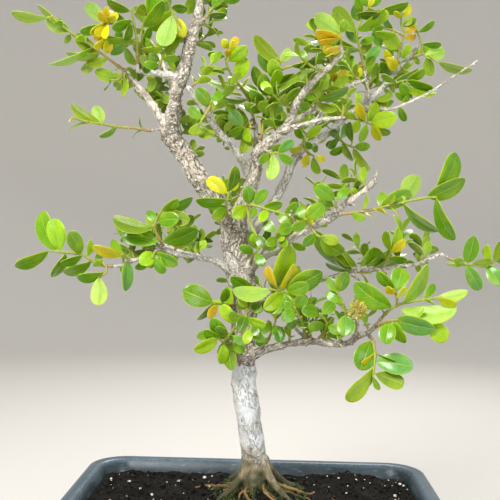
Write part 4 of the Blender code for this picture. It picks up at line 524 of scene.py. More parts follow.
# Growth that only this dressing has. For a spray or a branch: twigs, whose first point lies on its own
# growth, and leaves, in the same form as above.
MORE_GROWTH = {
    "spray_right_upper": ([], [(381, 309, 356, 291, 9, 6, "o")]),
    "spray_lone_left": ([], [(232, 308, 229, 287, 11, 5, "l")]),
    "spray_low_left": (
        [[(223, 342, -6), (232, 332, -14), (238, 322, -17)]],
        [(236, 325, 222, 305, 12, -4, "l"), (234, 330, 244, 318, 8, 4, "g"),
         (229, 341, 219, 357, 12, 5, "o"), (233, 336, 246, 343, 8, -4, "t"),
         (228, 336, 216, 327, 8, -6, "d"), (238, 322, 230, 312, 8, -4, "g"),
         (221, 339, 204, 330, 8, -7, "g")],
    ),
    "spray_centre_front": (
        [[(256, 292, -4), (250, 303, -12), (246, 316, -16), (252, 328, -19)]],
        [(251, 302, 237, 308, 9, -5, "o"), (246, 313, 239, 333, 12, -6, "d"),
         (247, 318, 266, 325, 7, -6, "l"), (251, 326, 259, 336, 8, -5, "d"),
         (287, 293, 308, 301, 12, -5, "o"), (287, 288, 299, 266, 8, 5, "l"),
         (282, 293, 264, 309, 13, -9, "l"), (252, 328, 245, 344, 10, -4, "l"),
         (249, 307, 238, 299, 9, -6, "l"), (251, 305, 262, 312, 9, -6, "g"),
         (246, 317, 228, 317, 9, -5, "o"), (251, 326, 264, 342, 9, -3, "g")],
    ),
    "back_right": (
        [],
        [(356, 266, 330, 238, 9, -7, "o"), (351, 269, 315, 231, 9, -6, "g"),
         (353, 270, 326, 263, 5, -6, "g"), (361, 266, 376, 247, 10, -7, "l"),
         (365, 267, 387, 252, 9, -6, "g"), (373, 267, 399, 258, 7, -5, "g"),
         (349, 270, 334, 252, 6, -6, "l"), (384, 267, 388, 250, 7, -5, "l")],
    ),
    "spray_right_stem": (
        [],
        [(359, 50, 327, 40, 8, -7, "g"), (358, 44, 346, 28, 8, 5, "g"), (358, 32, 385, 9, 12, -6, "l"),
         (357, 15, 379, 14, 7, -8, "d"), (362, 12, 358, -4, 8, -4, "g"), (368, 9, 374, -3, 6, -3, "y"),
         (361, 56, 369, 41, 11, -7, "o"), (366, 62, 380, 47, 12, -6, "t"), (366, 66, 376, 56, 9, -4, "d")],
    ),
    "spray_arm_tip": (
        [],
        [(336, 39, 318, 38, 6, -4, "r"), (341, 52, 320, 42, 7, 4, "o"), (340, 52, 324, 49, 6, -4, "y")],
    ),
    "spray_arm_upper_yellow": ([], [(336, 90, 340, 70, 9, -9, "r")]),
    "spray_top_right": (
        [],
        [(381, 47, 374, 31, 12, -4, "g"), (396, 36, 375, 32, 8, -6, "l"), (403, 25, 416, 18, 8, -7, "p"),
         (402, 58, 409, 44, 8, -5, "l"), (392, 62, 385, 50, 8, -5, "y"), (396, 70, 386, 57, 12, -7, "y"),
         (392, 76, 381, 62, 9, -6, "g")],
    ),
    "spray_right_under": (
        [],
        [(404, 84, 436, 94, 8, -7, "o"), (396, 80, 418, 69, 8, 5, "g"), (412, 98, 401, 84, 11, -5, "g"),
         (392, 92, 377, 101, 6, -5, "o"), (395, 93, 408, 100, 6, -3, "g"), (378, 86, 376, 70, 7, -5, "g")],
    ),
    "spray_left_top": (
        [],
        [(106, 22, 99, 13, 6, -6, "r"), (106, 22, 104, 9, 6, -8, "r"), (107, 22, 112, 10, 7, -7, "y"),
         (108, 23, 117, 14, 7, -5, "y"), (105, 22, 98, 19, 5, -5, "r"), (106, 25, 107, 38, 9, -8, "y"),
         (103, 26, 90, 33, 8, -8, "y"), (104, 28, 95, 41, 7, -7, "y"), (108, 39, 104, 51, 5, -6, "y"),
         (131, 24, 124, 40, 9, -6, "d"), (132, 21, 112, 27, 8, -9, "g"), (133, 41, 98, 38, 9, -6, "g"),
         (136, 66, 125, 50, 9, 5, "g")],
    ),
    "spray_left_crown": (
        [],
        [(143, 38, 157, 47, 8, -5, "g"), (141, 45, 150, 27, 8, -4, "g"), (146, 70, 142, 55, 10, -5, "p"),
         (150, 72, 141, 66, 7, -6, "d")],
    ),
    "spray_crown_pale": ([], [(173, 10, 150, 29, 14, 8, "l"), (176, 30, 186, 44, 10, 9, "l")]),
    "spray_centre_top_left": (
        [],
        [(230, 56, 234, 40, 8, -6, "y"), (230, 57, 226, 48, 6, -5, "r"), (246, 131, 218, 121, 11, 6, "d"),
         (248, 130, 243, 153, 13, -4, "o"), (246, 128, 250, 142, 8, -6, "l"),
         (262, 104, 246, 86, 12, 6, "l")],
    ),
    "spray_centre_top": (
        [],
        [(268, 93, 254, 66, 13, -5, "d"), (266, 96, 241, 81, 10, -6, "o"), (268, 98, 264, 72, 13, -7, "d"),
         (272, 88, 276, 67, 11, -9, "l"), (276, 88, 303, 72, 7, -6, "o"), (272, 100, 298, 82, 6, -7, "g"),
         (258, 112, 245, 103, 8, -5, "g"), (266, 110, 280, 97, 9, -5, "g"), (268, 112, 252, 99, 8, -8, "o"),
         (272, 116, 281, 106, 11, -6, "p")],
    ),
    "spray_arm_mid": ([], [(214, 135, 196, 129, 9, 8, "o")]),
    "spray_arm_upper": ([], [(313, 109, 299, 104, 10, 8, "t")]),
    "spray_bright": ([], [(354, 117, 334, 104, 6, -5, "o")]),
    "spray_under_bright": (
        [],
        [(352, 142, 350, 122, 8, -6, "d"), (340, 140, 331, 130, 9, 4, "d"), (338, 141, 326, 146, 8, 5, "d"),
         (345, 146, 330, 154, 7, 5, "g")],
    ),
    "spray_below_right": ([], [(303, 146, 290, 152, 6, 5, "y")]),
    "bare_right": ([], [(399, 107, 406, 121, 7, -4, "d"), (400, 106, 409, 96, 6, 3, "g")]),
    "spray_mid_left": (
        [],
        [(150, 240, 116, 226, 14, 9, "l"), (150, 250, 128, 254, 8, 5, "o"),
         (160, 244, 159, 224, 6, -4, "o")],
    ),
    "spray_mid_left_low": ([], [(160, 258, 172, 263, 9, 6, "t")]),
    "spray_trunk_left": ([], [(228, 207, 211, 219, 7, -5, "o")]),
    "spray_trunk_front": (
        [[(247, 207, -6), (250, 222, -10), (257, 236, -14)]],
        [(256, 206, 251, 218, 9, -4, "d"), (257, 234, 265, 247, 10, -4, "d"),
         (255, 231, 252, 243, 7, 4, "l")],
    ),
    "spray_arm_right_root": (
        [],
        [(276, 238, 291, 228, 11, 6, "d"), (277, 238, 284, 240, 7, -6, "l"),
         (292, 243, 305, 250, 8, 5, "l")],
    ),
}

# Short leafy twigs on the older wood: the shares of the branch's length between which they stand, how many
# of them, and how strongly they look away from the viewer.
FINE_GROWTH = {
    "fork_left": (0.55, 1.0, 4, 0.5),
    "white_left": (0.35, 1.0, 3, 0.3),
    "leader_mid": (0.45, 1.0, 15, 0.2),
    "leader_mid_upper": (0.2, 1.0, 8, 0.3),
    "leader_mid_lower": (0.3, 1.0, 7, 0.3),
    "leader_back": (0.4, 1.0, 5, 0.3),
    "leader_right": (0.48, 1.0, 14, 0.4),
    "bare_right": (0.15, 0.35, 1, 0.2),
    "stem_right": (0.3, 1.0, 3, 0.3),
    "arm_mid": (0.3, 1.0, 6, 0.4),
    "arm_left": (0.55, 1.0, 7, 0.4),
    "arm_right": (0.25, 0.95, 8, 0.5),
    "low_right": (0.3, 1.0, 8, 0.5),
    "low_right_side": (0.3, 1.0, 3, 0.2),
    "back_right": (0.5, 1.0, 6, 0.4),
    "back_low": (0.4, 1.0, 4, 0.6),
    "back_left": (0.4, 1.0, 6, 0.6),
    "back_top": (0.4, 1.0, 4, 0.6),
    "back_high": (0.3, 1.0, 7, 0.6),
    "back_crown": (0.3, 1.0, 7, 0.6),
    "trunk": (0.36, 0.98, 16, 0.6),
}


# Fine leaves: rows along the blade, columns across it, and how it differs from a flat sheet.
BLADE_COLUMNS = np.array([-1.0, -0.86, -0.5, -0.12, 0.0, 0.12, 0.5, 0.86, 1.0])
BLADE_ROWS = 12
SMALL_COLUMNS = np.array([-1.0, -0.6, 0.0, 0.6, 1.0])
SMALL_ROWS = 8
SMALL_LEAF = 11.0
FINE_THICKNESS = 0.42
RIM_THICKNESS = 0.24
CREASE = 0.35
RIB_HEIGHT = 0.3
RIB_REACH = 0.12

# Fine twigs: the length of one step, how far a spray's twig starts inside its spur, a side twig's radius at
# its start, the dome of a tube's ends as a share of its radius, and the steps from one node to the next. A
# node is bare if no leaf is rooted this near, and this share of its buds have a small leaf with them.
TWIG_DETAIL = 1.3
TWIG_SINK = 1.2
SIDE_TWIG_START = 0.85
END_DOME = 0.6
NODE_EVERY = 6
NODE_CLEARANCE = 2.6
SMALL_LEAF_SHARE = 0.75

# How near a leaf may come to the wood's surface and to the places that other leaves have taken.
WOOD_CLEARANCE = 0.9
LEAF_CLEARANCE = 1.3

# Colours of a leaf's upper face and underside for each tone, as red, green and blue from 0 to 255.
LEAF_TONES = {
    "g": ((94, 144, 10), (128, 160, 40)),
    "l": ((146, 184, 14), (158, 190, 44)),
    "d": ((60, 106, 8), (96, 132, 30)),
    "t": ((94, 150, 66), (140, 190, 112)),
    "y": ((208, 196, 18), (216, 204, 36)),
    "r": ((208, 172, 30), (212, 182, 50)),
    "o": ((90, 134, 12), (112, 138, 16)),
    "p": ((100, 146, 26), (154, 184, 84)),
}
RIB_COLOR = (176, 198, 76)
MARGIN_COLOR = (182, 196, 48)
LEAF_BLUSH_COLOR = (178, 196, 30)
WOODY_TWIG = (168, 144, 104)
RUSSET_TWIG = (150, 94, 54)
GREEN_TWIG = (146, 164, 52)
PORE_COLOR = (206, 190, 150)
BUD_COLOR = (200, 178, 74)
CRACK_COLOR = (104, 80, 60)
DEEP_CRACK_COLOR = (84, 62, 46)
THIN_CRACK_COLOR = (92, 78, 64)
FLECK_COLOR = (118, 98, 76)
PLATE_COLOR = (234, 227, 213)
PALE_PATCH_COLOR = (238, 236, 230)
TAN_FLAKE_COLOR = (150, 128, 104)
PALE_COLLAR_COLOR = (176, 160, 138)
BROWN_COLLAR_COLOR = (104, 84, 64)
SMOOTH_BARK_COLOR = (218, 222, 224)
WORN_BARK_COLOR = (188, 182, 168)
FOOT_BARK_COLOR = (132, 118, 82)
MOSS_STAIN_COLOR = (48, 58, 24)
DARK_MOSS_COLOR = (30, 46, 20)
PALE_MOSS_COLOR = (92, 104, 34)
FINE_ROOT_COLOR = (138, 108, 66)
FLOWER_COLORS = ((204, 192, 92), (178, 158, 74), (168, 176, 78))
BLOOM_CORE_COLOR = (168, 150, 78)
POT_COLOR = (38, 48, 54)
POT_CLOUD_COLOR = (66, 80, 88)
# The pale blue-grey of the painted highlight along the pot's rounded edges.
POT_RIM_HIGHLIGHT_COLOR = (102, 122, 137)
SCUFF_COLOR = (120, 134, 144)
SCRATCH_COLOR = (150, 158, 162)
SOIL_COLOR = (19, 18, 16)
SOIL_PALE_COLOR = (48, 44, 37)
FIBRE_COLOR = (96, 80, 62)
PERLITE_COLOR = (232, 228, 216)
PALE_SCRAP_COLOR = (120, 92, 62)
DARK_SCRAP_COLOR = (70, 54, 42)
NET_COLOR = (24, 24, 26)
NET_DUST_COLOR = (58, 52, 46)
BACKDROP_COLOR = (203, 200, 195)


def linear(color):
    """A screen colour of 0 to 255 as the linear red, green and blue that a material holds."""
    shares = [value / 255 for value in color]
    return tuple(share / 12.92 if share <= 0.04045 else ((share + 0.055) / 1.055) ** 2.4 for share in shares)


def seen(across, down, depth):
    """The point that shows at these steps of the sheet, this far behind the plane through the trunk."""
    reach = STEP * (1 + depth / EYE_DISTANCE)
    return PIVOT + SIGHT @ Vector(((across - AXIS_STEP) * reach, depth, (HORIZON_STEP - down) * reach))


def on_sheet(place):
    """The steps of the sheet, across and down, at which a place shows, and its depth: the reverse of seen."""
    x, depth, z = SIGHT.transposed() @ (place - PIVOT)
    reach = STEP * (1 + depth / EYE_DISTANCE)
    return Vector((AXIS_STEP + x / reach, HORIZON_STEP - z / reach, depth))


def smooth_route(points, spacing):
    """Points about this far apart along a Catmull-Rom curve through the given ones, which are tuples."""
    padded = [points[0], *points, points[-1]]
    route = [points[0]]
    for before, start, end, after in zip(padded, padded[1:], padded[2:], padded[3:]):
        pieces = max(1, round((Vector(end[:3]) - Vector(start[:3])).length / spacing))
        for piece in range(1, pieces + 1):
            t = piece / pieces
            route.append(tuple(
                b + 0.5 * t * (c - a + (2 * a - 5 * b + 4 * c - d) * t + (3 * b - a - 3 * c + d) * t * t)
                for a, b, c, d in zip(before, start, end, after)
            ))
    return route


def route_in_space(points, spacing):
    """The smooth route through sheet points, as (x, y, z, ...) tuples; any further number is kept."""
    placed = [(*seen(*point[:3]), *point[3:]) for point in points]
    return smooth_route(placed, spacing)


class Leaf:
    """A leaf on its stalk: where it is rooted, its base, its tip, the way its upper face looks, its width."""

    def __init__(self, root, base, tip, normal, width, tone):
        self.root = root
        self.base = base
        self.tip = tip
        self.width = width
        self.tone = tone
        along = (tip - base).normalized()
        self.normal = (normal - along * normal.dot(along)).normalized()

    def bent(self, roll, swing, pitch, size):
        """The same leaf, turned about its base and resized."""
        along = self.tip - self.base
        side = along.normalized().cross(self.normal)
        turn = (
            Matrix.Rotation(swing, 3, self.normal)
            @ Matrix.Rotation(pitch, 3, side)
            @ Matrix.Rotation(roll, 3, along.normalized())
        )
        return Leaf(
            self.root, self.base, self.base + turn @ along * size, turn @ self.normal,
            self.width * size, self.tone,
        )


def nearest_on(routes, sheet_point):
    """The twig point that shows nearest to a sheet point, as (across, down, depth)."""
    best = None
    for route in routes:
        for start, end in zip(route, route[1:]):
            run = Vector(end[:2]) - Vector(start[:2])
            share = (Vector(sheet_point) - Vector(start[:2])).dot(run) / max(run.length_squared, 1e-9)
            share = min(1.0, max(0.0, share))
            point = [a + (b - a) * share for a, b in zip(start[:3], end[:3])]
            distance = (Vector(point[:2]) - Vector(sheet_point)).length
            if best is None or distance < best[0]:
                best = (distance, point)
    return best[1]


def leaf_as_seen(routes, entry, chance):
    """The leaf of one line of a spray's table."""
    base_x, base_y, tip_x, tip_y, width, lean, tone = entry
    on_twig = nearest_on(routes, (base_x, base_y))
    root = seen(*on_twig)
    base = seen(base_x, base_y, on_twig[2] + lean * 0.1)
    tip = seen(tip_x, tip_y, on_twig[2] + lean)
    if (base - root).length < STALK_LENGTH:
        base = root + (tip - root).normalized() * STALK_LENGTH
    along = (tip - base).normalized()
    width_seen = width * STEP
    full_width = max(width_seen, BLADE_RATIO * (tip - base).length)
    to_eye = (EYE - base).normalized()
    facing = (to_eye - along * to_eye.dot(along)).normalized()
    roll = math.acos(min(1.0, width_seen / full_width)) * 0.9
    sign = 1 if along.cross(facing).dot(UP) < 0 else -1
    if tone in UNDERSIDE_TONES:
        sign = -sign
        facing = -facing
    roll += chance.uniform(-0.12, 0.12)
    normal = Matrix.Rotation(sign * roll, 3, along) @ facing
    widest = 0.64 * (tip - base).length + 1.5
    return Leaf(root, base, tip, normal, min(full_width, widest), tone)


def leaves_by_rule(route, spacing, length, chance):
    """Opposite pairs of leaves up a twig, each pair turned a quarter turn from the one below."""
    leaves = []
    lengths = [0.0]
    for start, end in zip(route, route[1:]):
        lengths.append(lengths[-1] + (Vector(end[:3]) - Vector(start[:3])).length)
    count = max(2, int(lengths[-1] / spacing))
    turn = chance.uniform(0, math.pi)
    for pair in range(1, count + 1):
        at = lengths[-1] * (pair / count) - 0.4
        k = next(i for i in range(1, len(lengths)) if lengths[i] >= at)
        share = (at - lengths[k - 1]) / (lengths[k] - lengths[k - 1])
        before, after = Vector(route[k - 1][:3]), Vector(route[k][:3])
        root = before.lerp(after, share)
        stem = (after - before).normalized()
        turn += math.pi / 2 + chance.uniform(-0.3, 0.3)
        across = stem.orthogonal().normalized()
        for side in (0, math.pi):
            out = Matrix.Rotation(turn + side, 3, stem) @ across
            open_angle = chance.uniform(0.75, 1.15) if pair < count else chance.uniform(0.45, 0.7)
            way = (stem * math.cos(open_angle) + out * math.sin(open_angle)).normalized()
            size = length * chance.uniform(0.85, 1.12)
            normal = stem * math.sin(open_angle) - out * math.cos(open_angle) + Vector((0, 0, 0.5))
            base = root + way * STALK_LENGTH
            tip = base + way * size
            tone = chance.choice("ggglo")
            leaves.append(Leaf(root, base, tip, normal.normalized(), size * BLADE_RATIO, tone))
    return leaves


def settled(leaf, solid):
    """The leaf as its solid has it, by the turn whose tip lies on a corner of the solid, or None."""
    for bend in BENDS:
        trial = leaf.bent(*bend)
        for sign in (1, -1):
            corner = trial.tip + trial.normal * (sign * BLADE_THICKNESS / 2)
            if solid.find(corner * MM)[2] < CORNER_MATCH * MM:
                return trial
    return None


def branch_radius_near(position):
    """The radius of the branch that passes nearest to a position."""
    return min(BRANCH_POINTS, key=lambda entry: (entry[0] - position).length)[1]


def split_twig(points):
    """The straight spur that stays on the branch and the twig that runs on from it past a small gap."""
    route = route_in_space(points, TWIG_SPACING)
    positions = [Vector(point[:3]) for point in route]
    length = SPUR_LENGTH + branch_radius_near(positions[0])
    way = (positions[1] - positions[0]).normalized()
    cut = positions[0] + way * length
    seat = cut + way * GAP
    lead = seat + way * (SHORTEST_STEP / 2)
    twig = [point for point in positions[1:] if (point - positions[0]).length > length + SHORTEST_STEP]
    return [positions[0], cut], [seat, lead, *twig]


def plan_branch_points():
    """Notes the branches' places and radii at the solids' own spacing."""
    for name, points in BRANCHES.items():
        route = route_in_space(points, TRUNK_SPACING if name == "trunk" else BRANCH_SPACING)
        BRANCH_POINTS.extend((Vector(point[:3]), point[3]) for point in route)


def more_growth(name, twigs, routes, chance):
    """The further twigs and leaves of a spray or branch. Its own twigs are given on the sheet and in space.

    Each further twig starts from the nearest place on the growth that is there.
    """
    more_twigs, leaf_table = MORE_GROWTH.get(name, ((), ()))
    fine = [Vector(point[:3]) for route in routes for point in smooth_route([tuple(p) for p in route], 1.0)]
    more_routes = []
    for twig in more_twigs:
        route = [Vector(point[:3]) for point in route_in_space(twig, TWIG_SPACING)]
        route[0] = min(fine, key=lambda point: (point - route[0]).length)
        more_routes.append(route)
    leaves = [leaf_as_seen([*twigs, *more_twigs], entry, chance) for entry in leaf_table]
    return more_routes, leaves


def plan_sprays():
    """For each spray its spur on the wood, its twigs and leaves, and the twigs and leaves added to them."""
    plans = []
    for name, (twigs, leaf_table) in SPRAYS.items():
        chance = random.Random(name)
        spur, first = split_twig(twigs[0])
        routes = [first]
        for twig in twigs[1:]:
            child = [Vector(point[:3]) for point in route_in_space(twig, TWIG_SPACING)]
            if (child[0] - first[0]).length < SEAT_CLEARANCE:
                child[0] = first[0] + (first[1] - first[0]).normalized() * SEAT_CLEARANCE
            routes.append(child)
        leaves = [leaf_as_seen(twigs, entry, chance) for entry in leaf_table]
        plans.append((name, spur, routes, leaves, *more_growth(name, twigs, routes, chance)))
    for name, (twig, spacing, length) in GROWN_SPRAYS.items():
        chance = random.Random(name)
        spur, first = split_twig(twig)
        leaves = leaves_by_rule(first, spacing, length, chance)
        plans.append((name, spur, [first], leaves, [], []))
    return plans


def fine_twig(route, share, away, chance):
    """A short twig from a branch: it leaves the branch sideways and turns up to the light."""
    last = len(route) - 1
    at = min(last, round(share * last))
    place = Vector(route[at][:3])
    along = (Vector(route[min(at + 1, last)][:3]) - Vector(route[max(0, at - 1)][:3])).normalized()
    way = Vector((chance.uniform(-1, 1), chance.uniform(-0.5, 1) + away, chance.uniform(-0.15, 0.9)))
    way = (way - along * way.dot(along) * 0.6).normalized()
    reach = chance.uniform(10.0, 19.0)
    rise = Vector((chance.uniform(-0.2, 0.2), chance.uniform(-0.1, 0.2), chance.uniform(0.1, 0.4)))
    return [place + way * (reach * t) + rise * (reach * t * t) for t in (0.0, 0.35, 0.7, 1.0)]


def put(name, data):
    """A new object in the scene."""
    made = bpy.data.objects.new(name, data)
    bpy.context.scene.collection.objects.link(made)
    return made


def mesh_with_modifiers(made):
    """A new mesh of an object with its modifiers applied."""
    bpy.context.view_layer.update()
    return bpy.data.meshes.new_from_object(made.evaluated_get(bpy.context.evaluated_depsgraph_get()))


class Shapes:
    """The points and faces of one piece, with a colour, a mark and a look number, gathered shape by shape."""

    def __init__(self):
        self.count = 0
        self.points = []
        self.faces = []
        self.tints = []
        self.marks = []
        self.looks = []

    def add(self, points, faces, tints, marks=None, look=0):
        """Adds one shape; tints is one colour, or one for each point."""
        points = np.asarray(points, float).reshape(-1, 3)
        if marks is None:
            marks = np.zeros((len(points), 3))
        self.points.append(points)
        self.tints.append(np.broadcast_to(np.asarray(tints, float), (len(points), 3)))
        self.marks.append(marks)
        self.faces.extend(tuple(corner + self.count for corner in face) for face in faces)
        self.looks.extend([look] * len(faces))
        self.count += len(points)

    def piece(self, name, looks, slot, nodes=(), sharp=CREASE_ANGLE):
        """The finished piece, riding on the part's one body and standing for these nodes."""
        mesh = bpy.data.meshes.new(name)
        mesh.from_pydata((np.concatenate(self.points) * MM).tolist(), [], self.faces)
        tint = mesh.color_attributes.new("tint", "FLOAT_COLOR", "POINT")
        colours = np.concatenate(self.tints)
        tint.data.foreach_set("color", np.hstack([colours, np.ones((len(colours), 1))]).ravel())
        mark = mesh.attributes.new("mark", "FLOAT_VECTOR", "POINT")
        mark.data.foreach_set("vector", np.concatenate(self.marks).astype(float).ravel())
        mesh.polygons.foreach_set("material_index", self.looks)
        for look in looks:
            mesh.materials.append(look)
        mesh.shade_smooth()
        mesh.set_sharp_from_angle(angle=sharp)
        made = put(name, mesh)
        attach(made, "root")
        if nodes:
            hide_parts(*nodes)
        return made


def grid_faces(rows, columns, start=0, flip=False, closed=False):
    """The faces of a grid of points, row by row; a closed grid joins its last column to its first."""
    faces = []
    for row in range(rows - 1):
        for column in range(columns if closed else columns - 1):
            after = (column + 1) % columns
            here, above = start + row * columns, start + (row + 1) * columns
            face = (here + column, here + after, above + after, above + column)
            faces.append(face[::-1] if flip else face)
    return faces


def grid_border(rows, columns):
    """The points round a grid's edge: down its first column, along its last row, up and back."""
    down = [row * columns for row in range(rows)]
    along = [(rows - 1) * columns + column for column in range(1, columns)]
    up = [row * columns + columns - 1 for row in range(rows - 2, -1, -1)]
    back = list(range(columns - 2, 0, -1))
    return down + along + up + back


def plate_faces(rows, columns):
    """The faces of a thin plate: a grid of upper points, the same grid of lower ones, and its edge."""
    count = rows * columns
    faces = grid_faces(rows, columns) + grid_faces(rows, columns, start=count, flip=True)
    border = grid_border(rows, columns)
    for here, after in zip(border, border[1:] + border[:1]):
        faces.append((here, after, after + count, here + count))
    return faces


def blade_middle(leaf, columns, t, chance):
    """The middle of an oval blade, folded, bowed and a little twisted: its points and their shares along."""
    length = (leaf.tip - leaf.base).length
    half = leaf.width / 2
    toe, heel = chance.uniform(0.56, 0.76), chance.uniform(0.42, 0.58)
    peak = toe / (toe + heel)
    outline = t ** toe * (1 - t) ** heel / (peak ** toe * (1 - peak) ** heel)
    outline = np.maximum(outline, np.where(t < 0.5, 0.5 / half, 0.1))
    across = columns * outline * half
    notch = chance.uniform(0.0, 0.03)
    reach = t - notch * np.exp(-(columns / 0.3) ** 2) * np.maximum(0, t - 0.9) * 10
    lift = BLADE_BOW * chance.uniform(0.8, 1.25) * length * 4 * reach * (1 - reach)
    lift = lift + BLADE_FOLD * (np.sqrt(across ** 2 + CREASE ** 2) - CREASE)
    lift = lift - chance.uniform(0.06, 0.16) * half * outline * np.abs(columns) ** 3
    wave, phase = chance.uniform(0.0, 0.035) * half, chance.uniform(0, 6.3)
    lift = lift + wave * np.sin(9 * reach + phase) * columns ** 2 * np.sign(columns)
    twist = chance.uniform(-0.22, 0.22) * reach
    across, lift = across * np.cos(twist) - lift * np.sin(twist) * 0.5, lift + across * np.sin(twist)
    sway = chance.uniform(-0.035, 0.035) * length * 4 * reach * (1 - reach)
    along_way = np.array((leaf.tip - leaf.base).normalized())
    normal = np.array(leaf.normal)
    side = np.cross(along_way, normal)
    middle = (
        np.array(leaf.base) + along_way * (reach * length)[..., None]
        + side * (across + sway)[..., None] + normal * lift[..., None]
    )
    return middle, reach


def frames_along(route):
    """For each point of a route its tangent and two steady directions across it, as arrays."""
    points = np.array([tuple(point[:3]) for point in route], float)
    steps = np.gradient(points, axis=0)
    tangents = steps / np.maximum(np.linalg.norm(steps, axis=1, keepdims=True), 1e-9)
    across = np.array(Vector(tangents[0]).orthogonal().normalized())
    firsts = []
    for tangent in tangents:
        across = across - tangent * across.dot(tangent)
        across = across / np.linalg.norm(across)
        firsts.append(across)
    firsts = np.array(firsts)
    return points, tangents, firsts, np.cross(tangents, firsts)


def add_tube(shapes, route, radii, sides, tints, look=0):
    """A closed tube with domed ends along a route; tints is one colour, or one for each of its points."""
    points, tangents, firsts, seconds = frames_along(route)
    radii = np.asarray(radii, float)
    tints = np.broadcast_to(np.asarray(tints, float), (len(points), 3))
    angles = np.arange(sides) * 2 * math.pi / sides
    outward = (
        np.cos(angles)[None, :, None] * firsts[:, None, :]
        + np.sin(angles)[None, :, None] * seconds[:, None, :]
    )
    rings = points[:, None, :] + radii[:, None, None] * outward
    first_pole = points[0] - tangents[0] * radii[0] * END_DOME
    last_pole = points[-1] + tangents[-1] * radii[-1] * END_DOME
    body = np.concatenate([rings.reshape(-1, 3), [first_pole, last_pole]])
    faces = grid_faces(len(points), sides, closed=True)
    low, high = len(body) - 2, len(body) - 1
    last = (len(points) - 1) * sides
    for k in range(sides):
        after = (k + 1) % sides
        faces.append((low, after, k))
        faces.append((high, last + k, last + after))
    body_tints = np.concatenate([np.repeat(tints, sides, axis=0), tints[:1], tints[-1:]])
    shapes.add(body, faces, body_tints, look=look)


def mix(first, second, share):
    """The blend of two colours or points, from the first at share 0 to the second at share 1."""
    return np.asarray(first) * (1 - share) + np.asarray(second) * share


def add_blade(shapes, leaf, chance, top, under):
    """One fine leaf: an oval blade with thin margins and a raised rib below, in its two faces' colours."""
    small = (leaf.tip - leaf.base).length < SMALL_LEAF
    columns = SMALL_COLUMNS if small else BLADE_COLUMNS
    rows, width = SMALL_ROWS if small else BLADE_ROWS, len(columns)
    t = (1 - np.cos(np.linspace(0, math.pi, rows))) / 2
    middle, reach = blade_middle(leaf, columns[None, :], t[:, None], chance)
    normal = np.array(leaf.normal)
    thick = np.where(np.abs(columns) >= 0.99, RIM_THICKNESS, FINE_THICKNESS) / 2
    rib_height = 0.0 if small else RIB_HEIGHT
    rib = rib_height * np.exp(-(columns[None, :] / RIB_REACH) ** 2) * (1 - reach)
    upper = middle + normal * thick[None, :, None]
    lower = middle - normal * (thick[None, :] + rib)[..., None]
    points = np.concatenate([upper.reshape(-1, 3), lower.reshape(-1, 3)])
    along_marks = np.tile(np.repeat(t, width), 2)
    face_marks = np.repeat([1.0, 0.0], rows * width)
    marks = np.stack([along_marks, np.tile(columns, 2 * rows), face_marks], axis=1)
    paler = np.clip(0.25 - 0.5 * t, 0, 1)[:, None]
    shade = 0.14 * (0.5 - t)
    top_tints = mix(top, linear(LEAF_TONES["l"][0]), paler) * (1 + shade)[:, None]
    under_tints = np.repeat(np.asarray(under)[None, :], rows, axis=0)
    tints = np.concatenate([np.repeat(top_tints, width, axis=0), np.repeat(under_tints, width, axis=0)])
    shapes.add(points, plate_faces(rows, width), tints, marks)


def nearest_along(route, point):
    """The index of the route's point nearest to a place."""
    return min(range(len(route)), key=lambda k: (Vector(route[k][:3]) - point).length_squared)


class Room:
    """The places that leaves have taken, in cells, and the wood: tells if a further leaf is clear of them."""

    CELL = 1.7

    def __init__(self, wood):
        self.cells = {}
        self.wood = wood
        self.shown = [(on_sheet(sample[0]), sample[2]) for sample in wood.samples]
        self.sheet = KDTree(len(self.shown))
        for index, (spot, _) in enumerate(self.shown):
            self.sheet.insert((spot.x, spot.y, 0.0), index)
        self.sheet.balance()

    def samples(self, leaf):
        """Places on a blade: along its midrib, and about two thirds of the way out to both margins."""
        along = leaf.tip - leaf.base
        side = along.normalized().cross(leaf.normal) * (leaf.width * 0.32)
        middle = [leaf.base + along * share for share in (0.16, 0.3, 0.44, 0.58, 0.72, 0.86, 1.0)]
        return middle + [place + side for place in middle[1:6]] + [place - side for place in middle[1:6]]

    def cell(self, place, dx=0, dy=0, dz=0):
        """The cell that a place lies in, or one so many cells away from it."""
        x, y, z = (math.floor(value / self.CELL) for value in place)
        return x + dx, y + dy, z + dz

    def near(self, place):
        """The taken places in the cells round a place."""
        for step in product((-1, 0, 1), repeat=3):
            yield from self.cells.get(self.cell(place, *step), ())

    def crowding(self, leaf):
        """How many of a leaf's places touch wood or another leaf."""
        crossed = 0
        for place in self.samples(leaf):
            centre, _, radius = self.wood.at(place)[:3]
            if (place - centre).length < radius + WOOD_CLEARANCE:
                crossed += 1
            elif any((place - other).length < LEAF_CLEARANCE for other in self.near(place)):
                crossed += 1
        return crossed

    def hides_wood(self, places):
        """Whether any of these places stands in front of a branch that shows."""
        for place in places:
            spot = on_sheet(place)
            for _, index, distance in self.sheet.find_n((spot.x, spot.y, 0.0), 5):
                shown, radius = self.shown[index]
                if distance < radius / STEP + 1.0 and spot.z < shown.z:
                    return True
        return False

    def take(self, leaf):
        """Notes the places that a leaf takes."""
        for place in self.samples(leaf):
            self.cells.setdefault(self.cell(place), []).append(place)

    def fitted(self, leaf, patience=0):
        """The gentlest turn of a leaf that crosses no more than this many places, or None.

        A leaf with no patience mustn't hide a branch either.
        """
        low, high = SOLID_BOX
        for bend in BENDS:
            trial = leaf.bent(*bend)
            outside = any(not a < value * MM < b for a, value, b in zip(low, trial.tip, high))
            if outside or self.crowding(trial) > patience:
                continue
            if not patience and self.hides_wood(self.samples(trial)):
                continue
            self.take(trial)
            return trial
        return None


